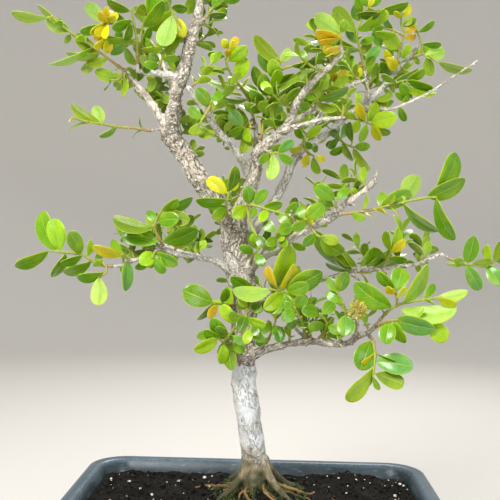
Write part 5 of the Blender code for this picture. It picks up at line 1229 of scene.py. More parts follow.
def add_leaf(shapes, leaf, route, chance):
    """A leaf with its stalk, rooted on the fine twig."""
    top, under = (np.array(linear(color)) for color in LEAF_TONES[leaf.tone])
    glow = chance.uniform(0.84, 1.16)
    warm = np.array([chance.uniform(0.9, 1.14), 1.0, chance.uniform(0.8, 1.15)])
    top, under = top * glow * warm, under * glow * warm
    root = Vector(route[nearest_along(route, leaf.root)][:3])
    way = (leaf.tip - leaf.base).normalized()
    inside = leaf.base + way * min(2.2, 0.2 * (leaf.tip - leaf.base).length)
    bend = leaf.base - way * 0.3 - leaf.normal * 0.15
    stalk = smooth_route([tuple(root), tuple(root.lerp(bend, 0.55)), tuple(bend), tuple(inside)], 0.9)
    radii = np.linspace(0.5, 0.24, len(stalk)) * min(1.0, 0.55 + (leaf.tip - leaf.base).length / 30)
    add_tube(shapes, stalk, radii, 6, mix(under, linear(GREEN_TWIG), 0.4), look=1)
    add_blade(shapes, leaf, chance, top, under)


def add_bud(shapes, place, way, size, color):
    """A small pointed bud."""
    route = [tuple(place + way * size * share) for share in (0.0, 0.25, 0.55, 0.8, 1.0)]
    radii = [share * size for share in (0.3, 0.42, 0.4, 0.22, 0.08)]
    add_tube(shapes, route, radii, 7, linear(color), look=1)


def woody_start(name):
    """How woody a spray's twig is: 0 green to 1 barked."""
    return random.Random(name + " bark").uniform(0.35, 1.0)


def add_twig(shapes, route, first, woody, chance):
    """A twig with swollen nodes, woody at its foot and green at its tip; returns its fine route."""
    fine = smooth_route([tuple(point) for point in route], TWIG_DETAIL)
    if first:
        start, after = Vector(fine[0]), Vector(fine[1])
        fine.insert(0, tuple(start + (start - after).normalized() * TWIG_SINK))
    count = len(fine)
    wide = TWIG_START if first else SIDE_TWIG_START
    radii = np.linspace(wide, TWIG_END, count)
    for k in range(count):
        from_node = abs((k + NODE_EVERY // 2) % NODE_EVERY - NODE_EVERY // 2)
        radii[k] *= 0.92 + 0.24 * math.exp(-(from_node / 0.9) ** 2) + chance.uniform(-0.03, 0.03)
    barked = mix(linear(WOODY_TWIG), linear(RUSSET_TWIG), chance.uniform(0.0, 0.8))
    tints = []
    for k in range(count):
        green = min(1.0, k / max(1, count - 1) * 1.3) + (1 - woody) * 0.6
        tints.append(mix(barked, linear(GREEN_TWIG), min(1.0, green)))
    add_tube(shapes, fine, radii, 9, tints, look=1)
    return fine


def add_small_growth(shapes, fine, taken, room, chance):
    """Axillary buds and small leaves at a twig's bare nodes."""
    total = len(fine)
    turn = chance.uniform(0, math.pi)
    for k in range(NODE_EVERY - 1, total, NODE_EVERY):
        turn += math.pi / 2
        place = Vector(fine[k][:3])
        stem = (Vector(fine[min(k + 1, total - 1)][:3]) - Vector(fine[k - 1][:3])).normalized()
        across = stem.orthogonal().normalized()
        bare = all((place - other).length > NODE_CLEARANCE for other in taken)
        for side in (0, math.pi):
            out = Matrix.Rotation(turn + side, 3, stem) @ across
            way = (stem * 0.7 + out * 0.75).normalized()
            add_bud(shapes, place + out * 0.5, way, chance.uniform(0.7, 1.3), BUD_COLOR)
            if not bare or chance.random() > SMALL_LEAF_SHARE:
                continue
            size = chance.uniform(5.5, 11.0)
            way = (stem * chance.uniform(0.35, 0.9) + out + Vector((0, 0, 0.15))).normalized()
            normal = (stem - out * 0.3 + Vector((0, 0, 0.6))).normalized()
            base = place + way * 1.4
            tone = chance.choice("ggly")
            leaf = room.fitted(Leaf(place, base, base + way * size, normal, size * 0.52, tone))
            if leaf:
                add_leaf(shapes, leaf, fine, chance)


def solid_corners(name):
    """The corners of a node's solid, for finding the leaves that it has."""
    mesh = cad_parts[name].data
    tree = KDTree(len(mesh.vertices))
    for vertex in mesh.vertices:
        tree.insert(vertex.co, vertex.index)
    tree.balance()
    return tree


def settle_sprays(plans, room):
    """For each spray its leaves as the solids have them, and those that the solids don't have."""
    settled_leaves = []
    for name, _, _, leaves, _, more_leaves in plans:
        solid = solid_corners(name)
        found = [(leaf, settled(leaf, solid)) for leaf in leaves]
        as_solid = [placed for leaf, placed in found if placed]
        for leaf in as_solid:
            room.take(leaf)
        settled_leaves.append((as_solid, [leaf for leaf, placed in found if not placed] + more_leaves))
    return settled_leaves


def add_growth(shapes, routes, as_solid, more_leaves, room, woody, chance):
    """Twigs with their leaves, buds and small leaves."""
    fine_routes = [add_twig(shapes, route, k == 0, woody, chance) for k, route in enumerate(routes)]
    every_point = [point for fine in fine_routes for point in fine]
    for leaf in as_solid:
        add_leaf(shapes, leaf, every_point, chance)
    fitted = [room.fitted(leaf, patience=3) for leaf in more_leaves]
    for leaf in fitted:
        if leaf:
            add_leaf(shapes, leaf, every_point, chance)
    roots = [leaf.root for leaf in [*as_solid, *fitted] if leaf]
    for fine in fine_routes:
        add_small_growth(shapes, fine, roots, room, chance)


def dress_sprays(plans, room, looks):
    """Every spray in fine detail, in place of its solid."""
    for plan, (as_solid, more_leaves) in zip(plans, settle_sprays(plans, room)):
        name, _, routes, _, more_routes, _ = plan
        chance = random.Random(name + " look")
        shapes = Shapes()
        every_route = [*routes, *more_routes]
        add_growth(shapes, every_route, as_solid, more_leaves, room, woody_start(name), chance)
        shapes.piece("foliage" + name[len("spray"):], looks, "leaf", [name])


def clear_twig(run, share, away, room, chance):
    """A short twig at this share of a branch that hides no wood but its own, or None."""
    for _ in range(12):
        twig = fine_twig(run, share, away, chance)
        if not room.hides_wood(twig[1:]):
            return twig
    return None


def dress_branches(wood_runs, room, looks):
    """Short leafy twigs on the older wood, with opposite pairs of small leaves."""
    for name, (start, end, count, away) in FINE_GROWTH.items():
        chance = random.Random(name + " fine")
        shapes = Shapes()
        for k in range(count):
            share = start + (end - start) * (k + chance.random()) / count
            twig = clear_twig(wood_runs[name], share, away, room, chance)
            if not twig:
                continue
            leaves = leaves_by_rule(twig, chance.uniform(3.6, 5.2), chance.uniform(7.5, 11.5), chance)
            fitted = [leaf for leaf in (room.fitted(leaf) for leaf in leaves) if leaf]
            if len(fitted) < 4:
                continue
            fine = add_twig(shapes, twig, False, chance.uniform(0.2, 0.9), chance)
            for leaf in fitted:
                add_leaf(shapes, leaf, fine, chance)
        if name in MORE_GROWTH:
            for leaf in more_growth(name, [BRANCHES[name]], [wood_runs[name]], chance)[1]:
                room.take(leaf)
                add_leaf(shapes, leaf, wood_runs[name], chance)
        if shapes.count:
            shapes.piece("fine_growth_" + name, looks, "leaf")


# Bark: the size of one voxel of the wood's fine skin, its plates and the cracks between them, and the heights
# up to which the trunk is smooth, damp and mossy; the smooth bark ends in a ragged edge.
BARK_VOXEL = 0.8
PLATE_ACROSS = 0.62
PLATE_ALONG = 0.26
PLATE_LIFT = 0.85
CRACK_REACH = 0.28
SMOOTH_TOP = 155.0
FRAY = 3.0
FOOT_TOP = 103.0
MOSSY_TOP = 88.0

# How far each of these branches has bark like the smooth trunk's; the others have none.
# On these branches the pale smooth bark is partly painted light, which lifts branches that lie in shade.
SMOOTH_AND_LIGHTENED = {"leader_right": 0.5, "arm_left": 0.5, "white_left": 0.6, "arm_mid": 0.35, "arm_right": 0.2}

# Knobs of healed wood on the trunk, as sheet points, and how far they rise and reach.
KNOBS = ((264, 408, 18), (232, 382, 18), (257, 372, 17), (258, 438, 19))
KNOB_RISE = 1.3
KNOB_REACH = 4.0

# What lies on the bark or grows from it.
FLAKE_THICKNESS = 0.18
FLAKE_COUNT = 1300
COLLAR_COUNT = 110
STUB_COUNT = 34
FINE_ROOT_COUNT = 15
FINE_ROOT_STEPS = 21


class Wood:
    """Where every branch runs, for telling how bark lies at a place near it."""

    def __init__(self, routes):
        self.samples = []
        for number, (name, route) in enumerate(routes):
            length = 0.0
            for k, point in enumerate(route):
                place = Vector(point[:3])
                before = Vector(route[max(0, k - 1)][:3])
                after = Vector(route[min(len(route) - 1, k + 1)][:3])
                length += (place - before).length
                self.samples.append((place, (after - before).normalized(), point[3], length, number, name))
        self.tree = KDTree(len(self.samples))
        for index, sample in enumerate(self.samples):
            self.tree.insert(sample[0], index)
        self.tree.balance()

    def at(self, place):
        """The sample of the branch whose bark this place lies on."""
        near = self.tree.find_n(place, 4)
        return self.samples[min(near, key=lambda found: found[2] - self.samples[found[1]][2])[1]]


def wood_routes():
    """Fine routes (x, y, z, radius) of every branch and root."""
    routes = []
    for name, points in BRANCHES.items():
        coarse = route_in_space(points, TRUNK_SPACING if name == "trunk" else BRANCH_SPACING)
        fine = smooth_route(coarse, 1.5)
        if name != "trunk":
            fine = [(*point[:3], point[3] * (1 + 0.5 * math.exp(-k / 2.5))) for k, point in enumerate(fine)]
        routes.append((name, fine))
    for name, points in ROOTS.items():
        routes.append((name, smooth_route(points, 1.5)))
    return routes


def smooth_share(place, name):
    """How far the bark at a place is the trunk's pale smooth bark, which ends in a ragged edge; on some
    branches this paleness is partly painted light.
    """
    if name in ROOTS:
        return 0.6
    if name != "trunk":
        # Partly painted light: branches that lie in shade take some of the trunk's pale smooth bark.
        return SMOOTH_AND_LIGHTENED.get(name, 0.0)
    edge = SMOOTH_TOP + FRAY * noise.noise(Vector((place.x, place.y, place.z * 0.15)) * 0.6)
    return 1 / (1 + math.exp(min(60.0, (place.z - edge) / 0.5)))


class BarkSpot:
    """The bark at one place on the wood."""

    def __init__(self, place, wood):
        centre, tangent, self.radius, run, number, self.name = wood.at(place)
        from_axis = place - centre
        along = from_axis.dot(tangent)
        round_the_axis = from_axis - tangent * along
        shift = Vector((number * 7.3, number * 3.1, number * 5.7))
        self.place = place
        self.smooth = smooth_share(place, self.name)
        self.grain = round_the_axis * PLATE_ACROSS + tangent * ((run + along) * PLATE_ALONG) + shift
        distances, centres = noise.voronoi(self.grain + noise.noise_vector(self.grain * 1.7) * 0.3)
        self.crack = min(1.0, (distances[1] - distances[0]) / CRACK_REACH)
        self.lift = noise.cell(centres[0] * 9.7 + shift)
        self.broad = noise.noise(place * 0.09 + shift)
        self.lumps = noise.noise(place * 0.21 - shift)
        self.fine = noise.noise(place * 0.9 + shift)

    def height(self):
        """How far the bark stands out: plates with cracks between them, or the trunk's smooth lumps."""
        crack, lift = self.crack, self.lift
        flaky = (crack * (0.35 + 0.65 * lift) - 0.3) * PLATE_LIFT + 0.75 * self.lumps + 0.12 * self.fine
        plain = 0.5 * self.lumps + 0.1 * self.fine + 0.3 * (crack * lift - 0.3)
        size = min(1.0, 0.35 + self.radius / 7)
        height = (flaky * (1 - self.smooth) + plain * self.smooth + 0.4 * self.broad) * size
        if self.name == "trunk":
            for knob in KNOBS:
                height += KNOB_RISE * math.exp(-((self.place - seen(*knob)).length / KNOB_REACH) ** 2)
        return height

    def color(self):
        """Pale plates or smooth bark, brown in cracks and at the collar, damp and mossy at the foot."""
        z = self.place.z
        thin = max(0.0, 0.2 * (7 - self.radius) / 7)
        pale_share = 0.45 + self.crack ** 0.6 * (0.35 + 0.4 * self.lift) + thin
        plate = mix(linear(CRACK_COLOR), linear(PLATE_COLOR), min(1.0, pale_share))
        worn = max(0.0, min(1.0, 0.2 + 0.9 * self.broad + 0.5 * self.fine))
        pale = mix(linear(SMOOTH_BARK_COLOR), linear(WORN_BARK_COLOR), worn)
        # On some branches the smooth share is partly painted light, a paleness that lifts branches in shade.
        color = mix(plate, pale, self.smooth)
        if self.name == "trunk":
            collar = math.exp(-((z - SMOOTH_TOP - 4.0) / 4.5) ** 2) * (1 - self.smooth)
            color = mix(color, linear(CRACK_COLOR), 0.35 * collar)
        damp = (FOOT_TOP - z) / 16 + 0.5 * noise.noise(self.place * 0.15)
        color = mix(color, linear(FOOT_BARK_COLOR), max(0.0, min(0.9, damp)))
        mossy = (MOSSY_TOP - z) / 9 + 1.3 * noise.noise(self.place * 0.2)
        return mix(color, linear(MOSS_STAIN_COLOR), max(0.0, min(0.85, mossy)))

    def flakiness(self):
        """From 0, smooth, to 1, cracked and flaking."""
        return (1 - self.smooth) * min(1.0, 0.45 + self.radius / 12)


def wood_skin(rough):
    """One closed fine skin round all the gathered tubes, as points, normals and faces."""
    base = bpy.data.meshes.new("wood_base")
    base.from_pydata((np.concatenate(rough.points)).tolist(), [], rough.faces)
    helper = put("wood_base", base)
    remesh = helper.modifiers.new("remesh", "REMESH")
    remesh.mode = "VOXEL"
    remesh.voxel_size = BARK_VOXEL
    smooth = helper.modifiers.new("smooth", "SMOOTH")
    smooth.factor = 0.5
    smooth.iterations = 2
    skin = mesh_with_modifiers(helper)
    bpy.data.objects.remove(helper)
    points = np.empty(len(skin.vertices) * 3)
    normals = np.empty(len(skin.vertices) * 3)
    skin.vertices.foreach_get("co", points)
    skin.vertices.foreach_get("normal", normals)
    faces = [tuple(face.vertices) for face in skin.polygons]
    return points.reshape(-1, 3), normals.reshape(-1, 3), faces


def set_flakiness(made, values):
    """Notes how flaky the bark is at each of a piece's points."""
    made.data.attributes.new("flaky", "FLOAT", "POINT").data.foreach_set("value", values)


def add_spur(shapes, spur):
    """The short woody spur that carries a spray, a little wider where it meets the branch."""
    low, high = spur
    inside = [tuple(low), tuple(low.lerp(high, 0.5)), tuple(high + (high - low).normalized() * 0.8)]
    fine = smooth_route(inside, 1.2)
    radii = [1.05 + 0.15 * math.exp(-(len(fine) - 1 - k) / 3.0) for k in range(len(fine))]
    add_tube(shapes, fine, radii, 12, (0, 0, 0))


def dress_wood(plans, routes, wood, looks):
    """The trunk, branches, roots and spurs as one skin, with flaking bark, loose flakes and dead stubs."""
    rough = Shapes()
    for name, route in routes:
        add_tube(rough, route, [point[3] for point in route], 28 if name == "trunk" else 14, (0, 0, 0))
    for plan in plans:
        add_spur(rough, plan[1])
    add_stubs(rough, wood)
    points, normals, faces = wood_skin(rough)
    tints, grains, flaky = np.empty_like(points), np.empty_like(points), np.empty(len(points))
    for k in range(len(points)):
        spot = BarkSpot(Vector(points[k]), wood)
        tints[k], grains[k], flaky[k] = spot.color(), spot.grain, spot.flakiness()
        points[k] += normals[k] * spot.height()
    shapes = Shapes()
    shapes.add(points, faces, tints, grains)
    set_flakiness(shapes.piece("bark", looks, "bark", ["wood"]), flaky)
    add_flakes(points, normals, wood, looks)
    add_fine_roots(looks)


def add_stubs(shapes, wood):
    """Short dead stubs on the older wood."""
    chance = random.Random("stubs")
    older = [
        (place, tangent, radius) for place, tangent, radius, _, _, name in wood.samples
        if radius > 1.6 and place.z > 160 and name not in ROOTS
    ]
    for place, tangent, radius in chance.sample(older, STUB_COUNT):
        out = Matrix.Rotation(chance.uniform(0, FULL_TURN), 3, tangent) @ tangent.orthogonal().normalized()
        way = (out + tangent * chance.uniform(0.1, 0.8)).normalized()
        reach = radius + chance.uniform(1.2, 3.6)
        route = [tuple(place + way * reach * share) for share in (0.2, 0.5, 0.8, 1.0)]
        add_tube(shapes, route, [1.3, 1.1, 0.95, 0.75], 8, (0, 0, 0))


def add_flake(shapes, place, normal, along, length, width, curl, tone):
    """A thin flake of bark whose far end curls away from the wood."""
    side = along.cross(normal)
    middle = []
    for t, share in ((0.0, 0.7), (0.5, 1.0), (1.0, 0.45)):
        row = place + along * (length * (t - 0.3)) + normal * (curl * length * t * t - 0.1)
        for k in (-1, 0, 1):
            middle.append(tuple(row + side * (width * share * k / 2) + normal * (0.12 * (k == 0))))
    middle = np.array(middle)
    half = np.array(normal) * (FLAKE_THICKNESS / 2)
    points = np.concatenate([middle + half, middle - half])
    shapes.add(points, plate_faces(3, 3), tone, np.tile(place * 0.4, (len(points), 1)))


def flake_style(collar, chance):
    """A flake's length, width, curl and colour; those of the collar are larger and browner."""
    length, width, curl = chance.uniform(0.9, 2.6), chance.uniform(0.5, 1.1), chance.uniform(0.1, 0.35)
    tone = mix(linear(PLATE_COLOR), linear(TAN_FLAKE_COLOR), chance.random() ** 2)
    if collar:
        length, width = chance.uniform(2.0, 5.0), chance.uniform(0.9, 2.0)
        tone = mix(linear(PALE_COLLAR_COLOR), linear(BROWN_COLLAR_COLOR), chance.random())
    return length, width, curl, tone * chance.uniform(0.85, 1.15)


def add_flakes(points, normals, wood, looks):
    """Flakes that have lifted from the older wood, and a ragged fringe where the smooth bark begins."""
    chance = random.Random("flakes")
    shapes = Shapes()
    wanted = {False: FLAKE_COUNT, True: COLLAR_COUNT}
    while any(wanted.values()):
        k = chance.randrange(len(points))
        place, normal = Vector(points[k]), Vector(normals[k])
        _, tangent, radius, _, _, name = wood.at(place)
        if place.z < SMOOTH_TOP - 1 or radius < 1.5 or name in ROOTS:
            continue
        collar = name == "trunk" and place.z < SMOOTH_TOP + 9
        if not wanted[collar]:
            continue
        wanted[collar] -= 1
        lengthwise = tangent - normal * tangent.dot(normal)
        along = (Matrix.Rotation(chance.uniform(-0.5, 0.5), 3, normal) @ lengthwise).normalized()
        if along.z > 0 and collar:
            along = -along
        add_flake(shapes, place, normal, along, *flake_style(collar, chance))
    set_flakiness(shapes.piece("bark_flakes", looks, "bark"), [0.3] * shapes.count)


def add_fine_roots(looks):
    """Thin tan roots that run down the foot of the trunk and along the soil before they dive in."""
    chance = random.Random("fine roots")
    shapes = Shapes()
    foot_x, foot_y = TRUNK_FOOT
    for k in range(FINE_ROOT_COUNT):
        angle = 2 * math.pi * k / FINE_ROOT_COUNT + chance.uniform(-0.25, 0.25)
        reach, start = chance.uniform(18.0, 36.0), chance.uniform(80.0, 92.0)
        bend, phase = chance.uniform(-0.5, 0.5), chance.uniform(0, 6.3)
        route = []
        for step in range(FINE_ROOT_STEPS + 1):
            t = step / FINE_ROOT_STEPS
            heading = angle + bend * t + 0.12 * math.sin(phase + 7 * t)
            out = 5.0 + reach * t
            x, y = foot_x + math.cos(heading) * out, foot_y + math.sin(heading) * out * 0.9
            on_top = crumbly_height(x, y) + 0.9 - 2.6 * max(0.0, t - 0.6)
            slope = start - (start - SOIL_LEVEL) * (1 - math.exp(-6 * t))
            route.append((x, y, max(on_top, slope)))
        thick = chance.uniform(0.75, 1.3)
        radii = [
            thick * (1.15 - 0.6 * step / FINE_ROOT_STEPS + chance.uniform(-0.06, 0.06))
            for step in range(FINE_ROOT_STEPS + 1)
        ]
        tone = np.array(linear(FINE_ROOT_COLOR)) * chance.uniform(0.5, 1.0)
        add_tube(shapes, route, radii, 8, tone)
    set_flakiness(shapes.piece("fine_roots", looks, "bark"), [0.2] * shapes.count)


# Pot, soil, moss and bloom: how finely they are divided, and how many small things there are.
CORNER_POINTS = 18
SIDE_POINTS = 14
SOIL_CELL = 0.8
CRUMB_COUNT = 2600
PERLITE_COUNT = 150
SCRAP_COUNT = 70
MOSS_REACH = 27.0
MOSS_COUNT = 2200
TUFT_TURN = 2.4
BLOOM_CORE = 3.2
SPIKE_COUNT = 96
GOLDEN_TURN = 2.39996


def soil_height(x, y):
    """The height of the soil's surface, with its mounds and a fine unevenness."""
    height = SOIL_LEVEL
    for mound_x, mound_y, rise, reach in MOUNDS:
        height += rise * math.exp(-((x - mound_x) ** 2 + (y - mound_y) ** 2) / reach ** 2)
    return height + 0.7 * math.sin(x * 0.31 + y * 0.17) * math.cos(y * 0.27 - x * 0.11)


def crumbly_height(x, y):
    """The soil's surface with its clods and grains."""
    spot = Vector((x, y, 0.0))
    clods = noise.noise(spot * 0.11) * 0.9 + noise.noise(spot * 0.3) * 0.8
    grains = noise.noise(spot * 0.8) * 0.55 + noise.noise(spot * 1.9) * 0.25
    return soil_height(x, y) + clods + grains - 0.3


def wall_inset(z):
    """How far the pot's outer wall lies inside the rim's outline at one height."""
    return LIP_OVERHANG + POT_TAPER * (1 - z / (POT_HEIGHT - LIP_HEIGHT))


def inner_inset(z):
    """How far the pot's inner wall lies inside the rim's outline at one height."""
    return LIP_WIDTH + 1.5 + POT_TAPER * (1 - z / POT_HEIGHT)


def inset_outline(inset):
    """The width, depth and corner radius of the rim's outline, moved in by this much."""
    return RIM_WIDTH - 2 * inset, RIM_DEPTH - 2 * inset, max(6.0, RIM_CORNER - inset * 0.8)


def rounded_ring(inset, z):
    """The points of the pot's rounded outline at one height, counter-clockwise from above."""
    width, depth, corner = inset_outline(inset)
    ring = []
    centres = [
        Vector((sign_x * (width / 2 - corner), sign_y * (depth / 2 - corner), z))
        for sign_x, sign_y in ((1, 1), (-1, 1), (-1, -1), (1, -1))
    ]
    for quarter, centre in enumerate(centres):
        for k in range(CORNER_POINTS):
            angle = math.pi / 2 * (quarter + k / (CORNER_POINTS - 1))
            ring.append(centre + Vector((math.cos(angle), math.sin(angle), 0)) * corner)
        side_end = math.pi / 2 * (quarter + 1)
        next_centre = centres[(quarter + 1) % 4]
        out = Vector((math.cos(side_end), math.sin(side_end), 0)) * corner
        for k in range(1, SIDE_POINTS):
            ring.append((centre + out).lerp(next_centre + out, k / SIDE_POINTS))
    return ring


def profile_of_pot():
    """The pot's section as (inset, height, painted highlight on its edges): up the outside, over the lip, and
    down the inside.
    """
    lip_low, top, floor = POT_HEIGHT - LIP_HEIGHT, POT_HEIGHT, FLOOR_THICKNESS
    foot = [
        (wall_inset(0) + FOOT_ROUND, 0.0, 0.2), (wall_inset(0.4) + 0.4, 0.4, 0.5),
        (wall_inset(1.5), 1.5, 0.2),
    ]
    wall = [(wall_inset(z), z, 0.0) for z in np.linspace(4.0, lip_low - 1.0, 12)]
    lip = [
        (wall_inset(lip_low) - 0.1, lip_low - 0.2, 0.0), (2.6, lip_low + 0.5, 0.0),
        (0.9, lip_low + 1.0, 0.2), (0.25, lip_low + 1.9, 0.5), (0.0, lip_low + 3.0, 0.1),
        (0.0, top - 3.0, 0.1), (0.12, top - 1.5, 0.4), (0.5, top - 0.6, 0.9), (1.2, top - 0.1, 1.0),
        (2.4, top, 0.5), (4.4, top, 0.25), (LIP_WIDTH - 1.8, top - 0.05, 0.5),
        (LIP_WIDTH - 0.9, top - 0.4, 0.9), (LIP_WIDTH - 0.2, top - 1.3, 0.6),
    ]
    inside = [
        (inner_inset(z) - 1.2 * (z / top) ** 8, z, 0.0) for z in np.linspace(top - 3.0, floor + 2, 14)
    ]
    bottom = [(inner_inset(floor) + 1.2, floor + 0.3, 0.0), (inner_inset(floor) + 3.5, floor, 0.0)]
    return foot + wall + lip + inside + bottom


def drain_cutter(side):
    """A closed cylinder through the pot's floor where a drain hole lies."""
    middle = Vector((side * DRAIN_OFFSET, 0, FLOOR_THICKNESS / 2)) * MM
    shape = bmesh.new()
    bmesh.ops.create_cone(
        shape, cap_ends=True, segments=56, radius1=DRAIN_RADIUS * MM, radius2=DRAIN_RADIUS * MM,
        depth=20 * MM, matrix=Matrix.Translation(middle),
    )
    hole = bpy.data.meshes.new("hole")
    shape.to_mesh(hole)
    shape.free()
    return put("hole", hole)


def cut_by(made, cutters):
    """Takes closed cutters away from a piece and removes them."""
    for cutter in cutters:
        cut = made.modifiers.new("cut", "BOOLEAN")
        cut.operation = "DIFFERENCE"
        cut.object = cutter
        cut.solver = "MANIFOLD"
    result = mesh_with_modifiers(made)
    made.modifiers.clear()
    made.data = result
    for cutter in cutters:
        bpy.data.objects.remove(cutter)


def dress_pot(look):
    """The pot: tapered walls, a flat lip with a painted highlight on its edges, a thick floor and two drain
    holes.
    """
    profile = profile_of_pot()
    rings = [rounded_ring(inset, z) for inset, z, rim_highlight in profile]
    count = len(rings[0])
    points = [tuple(point) for ring in rings for point in ring]
    faces = grid_faces(len(rings), count, closed=True)
    faces.append(tuple(range(count))[::-1])
    faces.append(tuple(range((len(rings) - 1) * count, len(rings) * count)))
    marks = np.zeros((len(points), 3))
    # The first mark is how strongly the painted highlight lies on each ring.
    marks[:, 0] = np.repeat([rim_highlight for inset, z, rim_highlight in profile], count)
    marks[:, 1] = np.array([point[2] for point in points]) / POT_HEIGHT
    shapes = Shapes()
    shapes.add(points, faces, linear(POT_COLOR), marks)
    made = shapes.piece("pot_body", [look], "pot", ["pot"], sharp=POT_CREASE)
    cut_by(made, [drain_cutter(side) for side in (-1, 1)])
    made.data.shade_smooth()
    made.data.set_sharp_from_angle(angle=POT_CREASE)


def into_outline(u, v, width, depth, corner):
    """Carries a place of the unit square onto the rounded rectangle, corner squares onto corner quarters."""
    x, y = u * width / 2, v * depth / 2
    over_x, over_y = (abs(x) - (width / 2 - corner)) / corner, (abs(y) - (depth / 2 - corner)) / corner
    if over_x > 0 and over_y > 0:
        p, q = over_x * math.sqrt(1 - over_y ** 2 / 2), over_y * math.sqrt(1 - over_x ** 2 / 2)
        x = math.copysign(width / 2 - corner + p * corner, x)
        y = math.copysign(depth / 2 - corner + q * corner, y)
    return x, y


def dress_soil(look):
    """The soil: a crumbly surface on a body that fills the pot."""
    width, depth, corner = inset_outline(inner_inset(SOIL_LEVEL) + 2 * GAP)
    columns, rows = round(width / SOIL_CELL), round(depth / SOIL_CELL)
    points = []
    tints = []
    for row in range(rows + 1):
        for column in range(columns + 1):
            x, y = into_outline(2 * column / columns - 1, 2 * row / rows - 1, width, depth, corner)
            points.append((x, y, crumbly_height(x, y)))
            pale = 0.5 + 0.5 * noise.noise(Vector((x, y, 3.0)) * 0.7)
            tints.append(mix(linear(SOIL_COLOR), linear(SOIL_PALE_COLOR), pale ** 3))
    faces = grid_faces(rows + 1, columns + 1)
    border = grid_border(rows + 1, columns + 1)
    border = border[:1] + border[:0:-1]
    low = SCREEN_THICKNESS + FLOOR_THICKNESS + 3 * GAP
    squeeze = 1 - 2 * (inner_inset(low) - inner_inset(SOIL_LEVEL)) / width
    start = len(points)
    for index in border:
        x, y, _ = points[index]
        points.append((x * squeeze, y * squeeze, low))
        tints.append(linear(SOIL_COLOR))
    for k in range(len(border)):
        after = (k + 1) % len(border)
        faces.append((border[after], border[k], start + k, start + after))
    faces.append(tuple(range(start, start + len(border)))[::-1])
    shapes = Shapes()
    shapes.add(points, faces, np.array(tints))
    shapes.piece("soil_bed", [look], "soil", ["soil"])


def stone_shape(radius, chance, finer):
    """A small lumpy grain as points and faces about the origin."""
    shape = bmesh.new()
    bmesh.ops.create_icosphere(shape, subdivisions=finer, radius=radius)
    stretch = Vector((chance.uniform(0.7, 1.3), chance.uniform(0.7, 1.3), chance.uniform(0.55, 1.0)))
    shift = Vector((chance.uniform(0, 99), 0, 0))
    points = []
    for vertex in shape.verts:
        lump = 1 + 0.35 * noise.noise(vertex.co / radius + shift)
        points.append(Vector(a * b for a, b in zip(vertex.co * lump, stretch)))
    faces = [tuple(vertex.index for vertex in face.verts) for face in shape.faces]
    shape.free()
    spin = Matrix.Rotation(chance.uniform(0, FULL_TURN), 3, "Z")
    turn = spin @ Matrix.Rotation(chance.uniform(-0.6, 0.6), 3, "X")
    return [turn @ point for point in points], faces


def on_soil(chance):
    """A place on the soil's surface."""
    outline = inset_outline(inner_inset(SOIL_LEVEL) + 1.5)
    x, y = into_outline(chance.uniform(-1, 1), chance.uniform(-1, 1), *outline)
    return Vector((x, y, crumbly_height(x, y)))


def lay_stone(shapes, stone, place, lift, tone):
    """Adds a grain, given as points and faces, lifted this far above a place."""
    points, faces = stone
    shapes.add([tuple(point + place + Vector((0, 0, lift))) for point in points], faces, tone)


def dress_grit(looks):
    """Crumbs of peat, perlite and scraps of bark that lie on the soil."""
    chance = random.Random("grit")
    crumbs, perlite, scraps = Shapes(), Shapes(), Shapes()
    for _ in range(CRUMB_COUNT):
        place = on_soil(chance)
        radius = 0.45 + 1.1 * chance.random() ** 3
        stone = stone_shape(radius, chance, 1)
        tone = mix(linear(SOIL_COLOR), linear(SOIL_PALE_COLOR), chance.random() ** 3)
        lay_stone(crumbs, stone, place, radius * 0.25, tone)
    for _ in range(PERLITE_COUNT):
        place = on_soil(chance)
        radius = 0.35 + 0.95 * chance.random() ** 2.5
        stone = stone_shape(radius, chance, 2)
        tone = np.array(linear(PERLITE_COLOR)) * chance.uniform(0.7, 1.0)
        lay_stone(perlite, stone, place, radius * 0.3, tone)
    for _ in range(SCRAP_COUNT):
        place = on_soil(chance)
        heading = chance.uniform(0, FULL_TURN)
        way = Vector((math.cos(heading), math.sin(heading), chance.uniform(-0.1, 0.25)))
        length = chance.uniform(2.0, 7.0)
        lying = Vector((0, 0, 0.5))
        route = [tuple(place + way * length * share + lying) for share in (0.0, 0.35, 0.7, 1.0)]
        tone = mix(linear(PALE_SCRAP_COLOR), linear(DARK_SCRAP_COLOR), chance.random())
        add_tube(scraps, route, np.array([0.22, 0.34, 0.3, 0.15]) * chance.uniform(0.8, 1.6), 6, tone)
    crumbs.piece("peat_crumbs", [looks["soil"]], "soil")
    perlite.piece("perlite", [looks["perlite"]], "soil")
    scraps.piece("bark_scraps", [looks["scraps"]], "soil")


def dress_moss(look):
    """Moss round the foot of the trunk: tufts of small pointed leaves."""
    chance = random.Random("moss")
    shapes = Shapes()
    for _ in range(MOSS_COUNT):
        reach = 5.0 + MOSS_REACH * chance.random() ** 1.2
        heading = chance.uniform(0, FULL_TURN)
        x = TRUNK_FOOT[0] + math.cos(heading) * reach
        y = TRUNK_FOOT[1] + math.sin(heading) * reach * 0.9
        patch = noise.noise(Vector((x, y, 7.0)) * 0.12)
        if patch < -0.45 + 0.03 * (reach - 12):
            continue
        place = Vector((x, y, crumbly_height(x, y) - 0.3))
        tone = mix(linear(DARK_MOSS_COLOR), linear(PALE_MOSS_COLOR), chance.random() ** 2)
        add_tuft(shapes, place, chance.uniform(1.2, 3.0), tone, chance)
    shapes.piece("moss", [look], "leaf")


